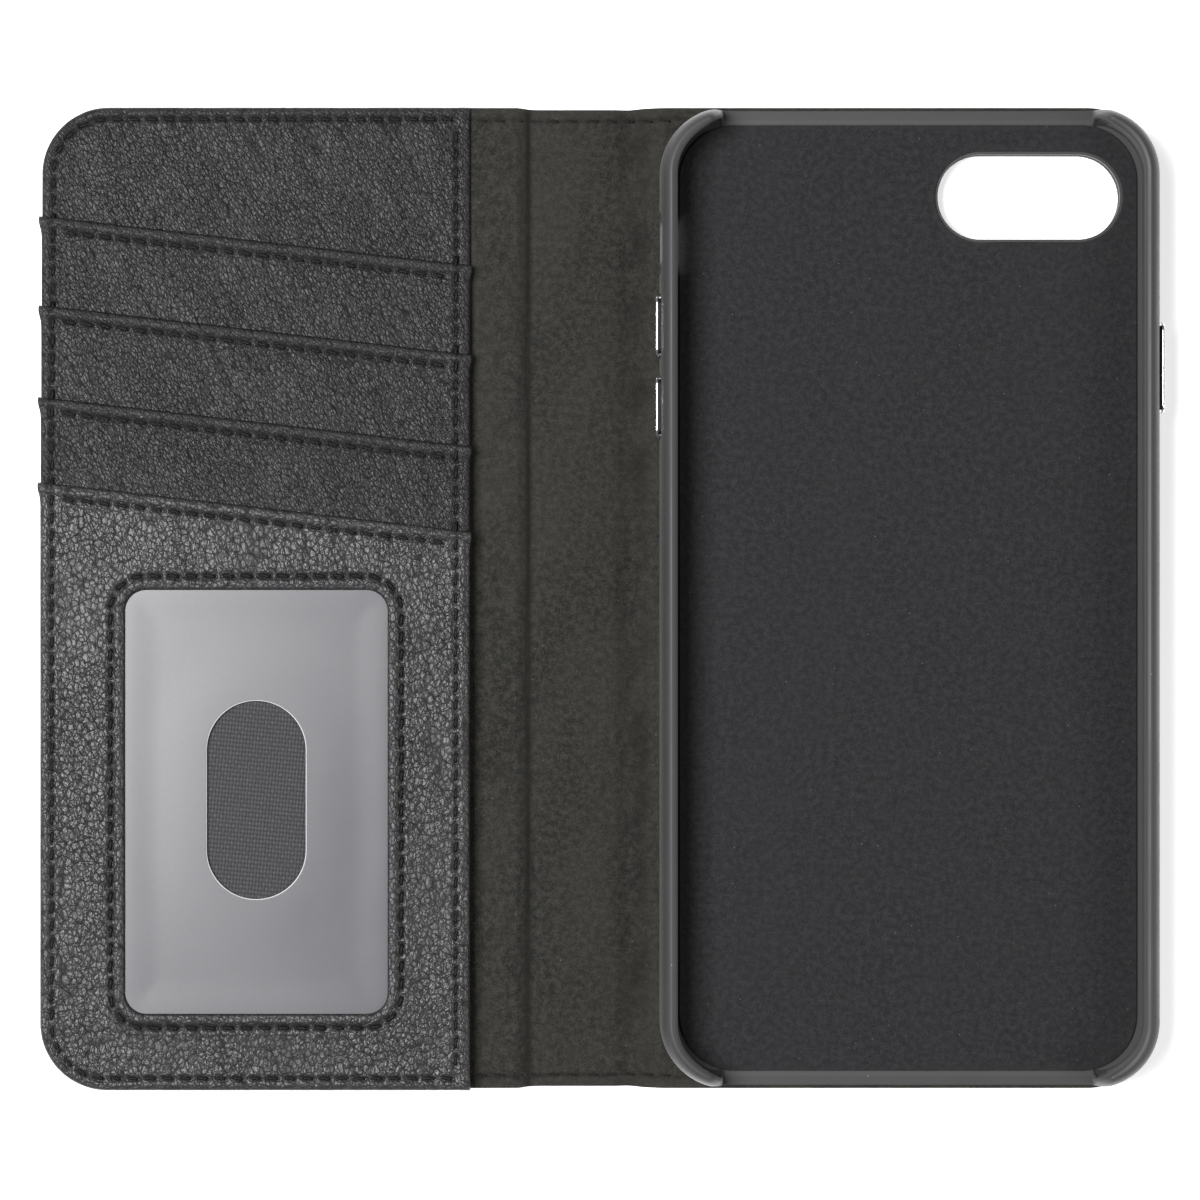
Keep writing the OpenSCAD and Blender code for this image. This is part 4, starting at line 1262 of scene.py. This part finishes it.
for k, node in enumerate(["pocket_fabric_first", "pocket_fabric_second", "pocket_fabric_third"]):
    (x0, y0, z0), (x1, y1, z1) = corners(node)
    shown = k == 2
    fine, coarse = (0.17 * MM, 1.6 * MM) if shown else (2.0 * MM, 2.0 * MM)
    reach_x, reach_y = THUMB[0] / 2 - 1.5 * MM, THUMB[1] / 2 - 9.5 * MM
    mid = thumb_centre if shown else np.array([(x0 + x1) / 2, (y0 + y1) / 2])
    xs = spread(x0, x1, fine, coarse, [mid[0] - 2 * MM, mid[0] + 2 * MM], reach_x)
    top_line = mouth(k, xs) - UNDER - 0.1 * MM
    corner_in = np.clip(FOLD_IN - (xs - x0), 0, None)
    cut_corner = FOLD_IN - np.sqrt(FOLD_IN**2 - corner_in**2)
    low_line = y0 + cut_corner if shown else mouth(k, xs) - 84 * MM
    ys = spread(y0, y1, fine, coarse, [mid[1] - 9 * MM, mid[1], mid[1] + 9 * MM], reach_y)
    x, y = between(xs, low_line, top_line, (ys - y0) / (y1 - y0))
    inner = (np.abs(x - mid[0]) < THUMB[0] / 2 + MM) & (np.abs(y - mid[1]) < THUMB[1] / 2 + MM)
    calm = 0.02 * MM * ripple(x, y, 6 * MM, 70 + k)
    high = z1 - 0.04 * MM + np.where(inner & shown, 0.05 * MM * woven(x, y), calm)
    cloth = make_sheet(node + "_cloth", x, y, np.full_like(x, z0 + 0.02 * MM), high)
    fit(cloth, "cover", slot_cloth, "woven", node)
    size = (float(x1 - x0), float(np.max(top_line) - np.min(low_line)))

# %% The stitches of the panel
for name, rows, node in (("panel_edge_stitches", panel_rows, "panel_stitching"),
                         ("pocket_hem_stitches", np.concatenate(hem_rows), "pocket_stitching"),
                         ("window_frame_stitches", window_rows, "window_stitching")):
    fit(sew(name, rows, stack_top, proud=0.02 * MM), "cover", thread_black, "thread", node)

# %% [markdown]
# ## The phone tray
# The tray is one moulding: a floor and a thin wall that bulges outside, rounds over at the rim and
# reaches in over the phone as a lip. It is a profile carried once round a rounded rectangle. At
# both ends the wall stops and leaves a gap, and there the profile sinks down to the floor's edge,
# with a round end instead of a sawn one.

# %% The profile of the wall
SHELL_HIGH = corners("tray_shell")[1]
FLOOR_TOP = corners("tray_lining")[0][2]
LIP, LIP_T = 0.9 * MM, 0.9 * MM
TRAY_X = (SHELL_LEFT + SHELL_RIGHT) / 2
SHELL_HALF = np.array([(SHELL_RIGHT - SHELL_LEFT) / 2, SHELL_HIGH[1]])
GAP_HALF, ROUND_END, TAPER_END = 30.5 * MM, 3.0 * MM, 8.0 * MM
SHELL_CRISP = 35


def smooth_curve(points, count):
    """A curve through control points, as a Catmull-Rom spline sampled count times per span."""
    p = np.asarray(points, float)
    p = np.concatenate([[2 * p[0] - p[1]], p, [2 * p[-1] - p[-2]]])
    t = (np.arange(count) / count)[:, None]
    spans = [0.5 * (2 * b + (c - a) * t + (2 * a - 5 * b + 4 * c - d) * t**2
                    + (3 * b - a - 3 * c + d) * t**3)
             for a, b, c, d in zip(p[:-3], p[1:-2], p[2:-1], p[3:])]
    return np.concatenate(spans + [p[-2][None]])


h = (SHELL_HIGH[2] - LINING_TOP) / MM
z0, rim, lip_z, floor_z = [v / MM for v in (LINING_TOP, SHELL_HIGH[2], SHELL_HIGH[2] - LIP_T,
                                            FLOOR_TOP)]
wall, lip = WALL_T / MM, LIP / MM
outside = smooth_curve([(1.3, z0), (0.5, z0 + 0.09 * h), (0.1, z0 + 0.23 * h), (0.0, z0 + 0.4 * h),
                        (0.1, z0 + 0.62 * h), (0.45, z0 + 0.81 * h), (0.95, z0 + 0.93 * h),
                        (1.75, rim), (wall + lip - 0.45, rim - 0.12),
                        (wall + lip, rim - 0.5)], 5)
inside = np.array([(wall + lip, lip_z + 0.12), (wall + lip - 0.12, lip_z), (wall + 0.2, lip_z),
                   (wall, lip_z - 0.2), (wall, lip_z - 2), (wall, floor_z + 2.0),
                   (wall + 0.02, floor_z + 0.35), (wall + 0.35, floor_z), (wall + 2.4, floor_z)])
wall_profile = np.concatenate([outside, inside]) * MM
run = np.concatenate([[0], np.cumsum(np.hypot(*np.diff(wall_profile, axis=0).T))])
share = run / run[-1]
edge_at = 0.16
gap_u = np.where(share < edge_at, 1.3 - 1.2 * np.sqrt(np.clip(share / edge_at, 0, 1)),
                 0.1 + (wall + 2.3) * np.clip((share - edge_at) / (1 - edge_at), 0, 1))
gap_z = z0 + (floor_z - z0) * ease(0, edge_at * 1.15, share)
gap_profile = np.stack([gap_u, gap_z], axis=-1) * MM
print("wall profile:", len(wall_profile), "points")

# %% The tray shell
def shell_path():
    """Places round the tray that the profile turns about, and the way it faces there: straight
    sides, quarter circles at the corners, and closer places where the end walls stop."""
    hx, hy = SHELL_HALF - CORNER_R
    ends = np.linspace(-hx, hx, 22)
    sides = np.linspace(-hy, hy, 50)
    arc = np.radians(np.concatenate([np.linspace(0, 48, 15)[1:], np.linspace(48, 90, 46)[1:-1]]))
    back = math.pi / 2 - arc[::-1]
    parts = []
    for quadrant, (sx, sy) in enumerate([(1, 1), (-1, 1), (-1, -1), (1, -1)]):
        begin = quadrant * math.pi / 2
        on_side = quadrant % 2 == 0
        along = sy * sides if on_side else sx * ends
        across = np.full_like(along, sx * hx if on_side else sy * hy)
        straight = (across, along) if on_side else (along, across)
        parts.append((*straight, np.full_like(along, begin)))
        bend = begin + (arc if on_side else back)
        parts.append((np.full_like(bend, sx * hx), np.full_like(bend, sy * hy), bend))
    return [np.concatenate(column) for column in zip(*parts)]


cx, cy, turn = shell_path()
at_end = np.abs(np.sin(turn)) > 0.3
past = np.where(at_end, np.abs(cx + CORNER_R * np.cos(turn)) - GAP_HALF, 1.0)[:, None]


def quarter(distance, reach):
    """A quarter circle: 0 before the wall starts, steep at first, 1 at the reach."""
    return np.sqrt(1 - (1 - np.clip(distance / reach, 0, 1)) ** 2)


full = quarter(past, ROUND_END)
round_off = full**0.6
taper = 1 - quarter(past, TAPER_END)
section_z = gap_profile[None, :, 1] * (1 - full) + wall_profile[None, :, 1] * full
section_u = gap_profile[None, :, 0] * (1 - round_off) + wall_profile[None, :, 0] * round_off
above = ease(FLOOR_TOP + 0.3 * MM, FLOOR_TOP + 1.5 * MM, section_z)
section_u = section_u - 0.75 * taper * above * np.maximum(section_u - 0.7 * MM, 0)
radius = CORNER_R - section_u
x = TRAY_X + cx[:, None] + radius * np.cos(turn)[:, None]
y = cy[:, None] + radius * np.sin(turn)[:, None]
body = np.stack([x, y, section_z], axis=-1)
centre_top = body[:, -1:, :].copy()
centre_top[..., 0], centre_top[..., 1] = TRAY_X, np.clip(centre_top[..., 1], -40 * MM, 40 * MM)
centre_low = centre_top.copy()
centre_low[..., 2] = LINING_TOP
body = np.concatenate([centre_low, body, centre_top], axis=1)
# lighter colour along the crest of the rim
rim_crest_lighter = np.pad(hill(share[None] - 0.52, 0.06) * np.ones_like(section_u), ((0, 0), (1, 1)))
shell = make_mesh("phone_tray_shell", body, grid_faces(*body.shape[:2], wrap_rows=True),
                  SHELL_CRISP, wear=rim_crest_lighter)

cap_low, cap_high = corners("volume_up_cap")
PHONE_MID_Z = (cap_low[2] + cap_high[2]) / 2
CAP_H = cap_high[2] - cap_low[2]
SLOT_CLEAR, FLANGE_OVER, FLANGE_IN = 0.2 * MM, 0.8 * MM, 1.0 * MM
SWITCH_AT, SWITCH_SIZE = (58 * MM, PHONE_MID_Z), (10 * MM, 5 * MM)
BUTTONS = {"volume_up": -1, "volume_down": -1, "power": 1}
cutters = [camera_cutter(LINING_TOP, FLOOR_TOP, 0.1 * MM)]
for button, side in BUTTONS.items():
    low, high = corners(button + "_cap")
    wall_x = SHELL_LEFT if side < 0 else SHELL_RIGHT
    middle = ((low[1] + high[1]) / 2, PHONE_MID_Z)
    size = (high[1] - low[1] + 2 * SLOT_CLEAR, CAP_H + 2 * SLOT_CLEAR)
    cutters.append(prism("cutter", middle, *size,
                         [(wall_x + side * 2 * MM, 0.25 * MM), (wall_x - side * 0.1 * MM, 0.2 * MM),
                          (wall_x - side * 0.4 * MM, 0), (wall_x - side * 3 * MM, 0)], "x"))
    deep = wall_x - side * (WALL_T - FLANGE_IN)
    cutters.append(prism("cutter", middle, size[0] + 2 * FLANGE_OVER, size[1] + 2 * FLANGE_OVER,
                         [(deep, 0), (deep - side * 2 * MM, 0)], "x"))
cutters.append(prism("cutter", SWITCH_AT, *SWITCH_SIZE,
                     [(SHELL_LEFT - 2 * MM, 0.3 * MM), (SHELL_LEFT + 0.1 * MM, 0.25 * MM),
                      (SHELL_LEFT + 0.5 * MM, 0), (SHELL_LEFT + 4 * MM, 0)], "x"))
cut(shell, cutters)
shell.data.shade_smooth()
shell.data.set_sharp_from_angle(angle=math.radians(SHELL_CRISP))
fit(shell, "tray", soft_touch, "soft_touch", "tray_shell")

# %% [markdown]
# ### The tray's lining
# A thin suede pad covers the tray's floor. It is a ring round the camera opening, pressed thin
# at both edges, with a slightly uneven lie.

# %% The tray's lining
pad_low, pad_high = corners("tray_lining")
CAVITY_R = CORNER_R - WALL_T
PAD_HOLE = (CAMERA_SIZE[0] + 0.8 * MM, CAMERA_SIZE[1] + 0.8 * MM)
pad_box = (pad_low[0], pad_high[0], pad_low[1], pad_high[1], CAVITY_R)
hole_loop = slot_loop(*PAD_HOLE, CAMERA_HOLE, 0.6 * MM)
pad_loop = outline(box_corners(*pad_box), 1.0 * MM)
shares = spread(0, 1, 0.0035, 0.022, [0.0, 1.0], 0.012)
x, y = ring_grid(hole_loop, pad_loop, np.array(CAMERA_HOLE), shares)
d = np.minimum(box_inside(x, y, *pad_box), slot_outside(x, y, *PAD_HOLE, CAMERA_HOLE))
high = pad_high[2] - bead(d, 0.3 * MM) + 0.02 * MM * ripple(x, y, 16 * MM, 81)
low = np.full_like(x, pad_low[2])
pad = make_sheet("tray_suede_pad", x, y, low, np.maximum(high, low + 0.05 * MM), ring=True,
                 wear=0.6 * hill(d - 0.4 * MM, 0.5 * MM))
fit(pad, "tray", tray_suede, "lining", "tray_lining")

# %% [markdown]
# ## The buttons
# Each button is a metal cap on a rubber plunger. The cap is a slot-shaped plug with a bright
# rounded rim and a sunk face. It is made as rings of the same outline: each ring has its place
# along X and its growth or shrinkage, so the whole cap is a loft.

# %% The buttons
CAP_LEVELS = [(0.72, 0.02, 1), (0.66, 0.04, 1), (0.60, 0.06, 1), (0.44, 0.06, 1), (0.38, 0.01, 0),
              (0.12, 0.04, 0), (0.03, 0.13, 0), (0, 0.26, 0), (0, 0.46, 0), (0.05, 0.56, 0.4),
              (0.16, 0.66, 1), (0.18, 0.95, 1)]


def loft(name, middle, length, height, levels, crisp=50):
    """A closed body of slot-shaped rings about (y, z) = middle. levels are (x, shrink, sunk): the
    ring's place, how many millimetres smaller it is than the outline all round, and its mark. The
    first and the last ring close on a line along the slot."""
    rings, marks = [], []
    for x_at, shrink, sunk in levels:
        px, py = stadium(length - 2 * shrink * MM, height - 2 * shrink * MM, 56)
        rings.append(np.stack([np.full_like(px, x_at), middle[0] + px, middle[1] + py], axis=-1))
        marks.append(sunk * (np.abs(px) < length / 2 - 0.55 * MM))
    reach = (length - height) / 2
    for index in (0, -1):
        line = rings[index].copy()
        line[:, 2] = middle[1]
        line[:, 1] = np.clip(line[:, 1], middle[0] - reach, middle[0] + reach)
        rings.insert(0 if index == 0 else len(rings), line)
        marks.insert(0 if index == 0 else len(marks), marks[index])
    points = np.stack(rings)
    return make_mesh(name, points, grid_faces(*points.shape[:2], wrap_cols=True), crisp,
                     sunk=np.stack(marks))


for button, side in BUTTONS.items():
    low, high = corners(button + "_cap")
    face, back = (low[0], high[0]) if side < 0 else (high[0], low[0])
    middle = ((low[1] + high[1]) / 2, PHONE_MID_Z)
    levels = [(back, 0.3, 1), (back, 0.02, 1)]
    levels += [(face - side * depth * MM, shrink, sunk) for depth, shrink, sunk in CAP_LEVELS]
    cap = loft(button + "_metal_cap", middle, high[1] - low[1], CAP_H, levels)
    fit(cap, button + "_button", bright_metal, "metal", button + "_cap")
    low, high = corners(button + "_plunger")
    outer, inner = (low[0], high[0]) if side < 0 else (high[0], low[0])
    nub = inner + side * 0.25 * MM
    levels = [(outer, 0.3, 0), (outer, 0.05, 0), (outer - side * 0.06 * MM, 0, 0),
              (nub + side * 0.06 * MM, 0, 0), (nub, 0.08, 0), (nub, 1.25, 0),
              (nub - side * 0.05 * MM, 1.3, 0), (inner + side * 0.08 * MM, 1.32, 0),
              (inner, 1.42, 0), (inner, 1.7, 0)]
    plunger = loft(button + "_rubber_plunger", middle, high[1] - low[1],
                   CAP_H + 2 * FLANGE_OVER, levels)
    fit(plunger, button + "_button", button_rubber, "rubber", button + "_plunger")

# %% [markdown]
# ## The hidden boards, the floor and the size of the model
# The boards keep their CAD shape, because a board is a plain die-cut sheet, and get a pulp finish.
# The floor isn't part of the case. Then the box round this model is printed.

# %% Boards and floor
for node in ("cover_board", "back_board", "spine_stiffener"):
    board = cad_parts[node]
    if not board.material_slots:
        board.data.materials.append(dark_board)
    for place in board.material_slots:
        place.material = dark_board

floor_finish, tree, shader, at = start("pale_floor", Emission_Color=(1, 1, 1, 1),
                                       Emission_Strength=0.45)
shade = noise(tree, at, 3.0, 2.0)
connect(tree, shader, tint(tree, shade, (0.93, 0.93, 0.93, 1), (0.95, 0.95, 0.95, 1)),
        ramp(tree, shade, 0, 1, 0.85, 0.95))
span = np.linspace(-2.5, 2.5, 3)
fx, fy = np.meshgrid(span, span)
floor = bpy.data.meshes.new("floor")
floor.from_pydata(np.stack([fx, fy, np.full_like(fx, -0.05 * MM)], axis=-1).reshape(-1, 3), [],
                  grid_faces(3, 3))
floor_object = bpy.data.objects.new("floor", floor)
floor.materials.append(floor_finish)
bpy.context.scene.collection.objects.link(floor_object)
floor_object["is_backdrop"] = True

# %% Sizes and the end
low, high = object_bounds()
print("visual box in mm:", [round(v / MM, 1) for v in (*low, *high)])
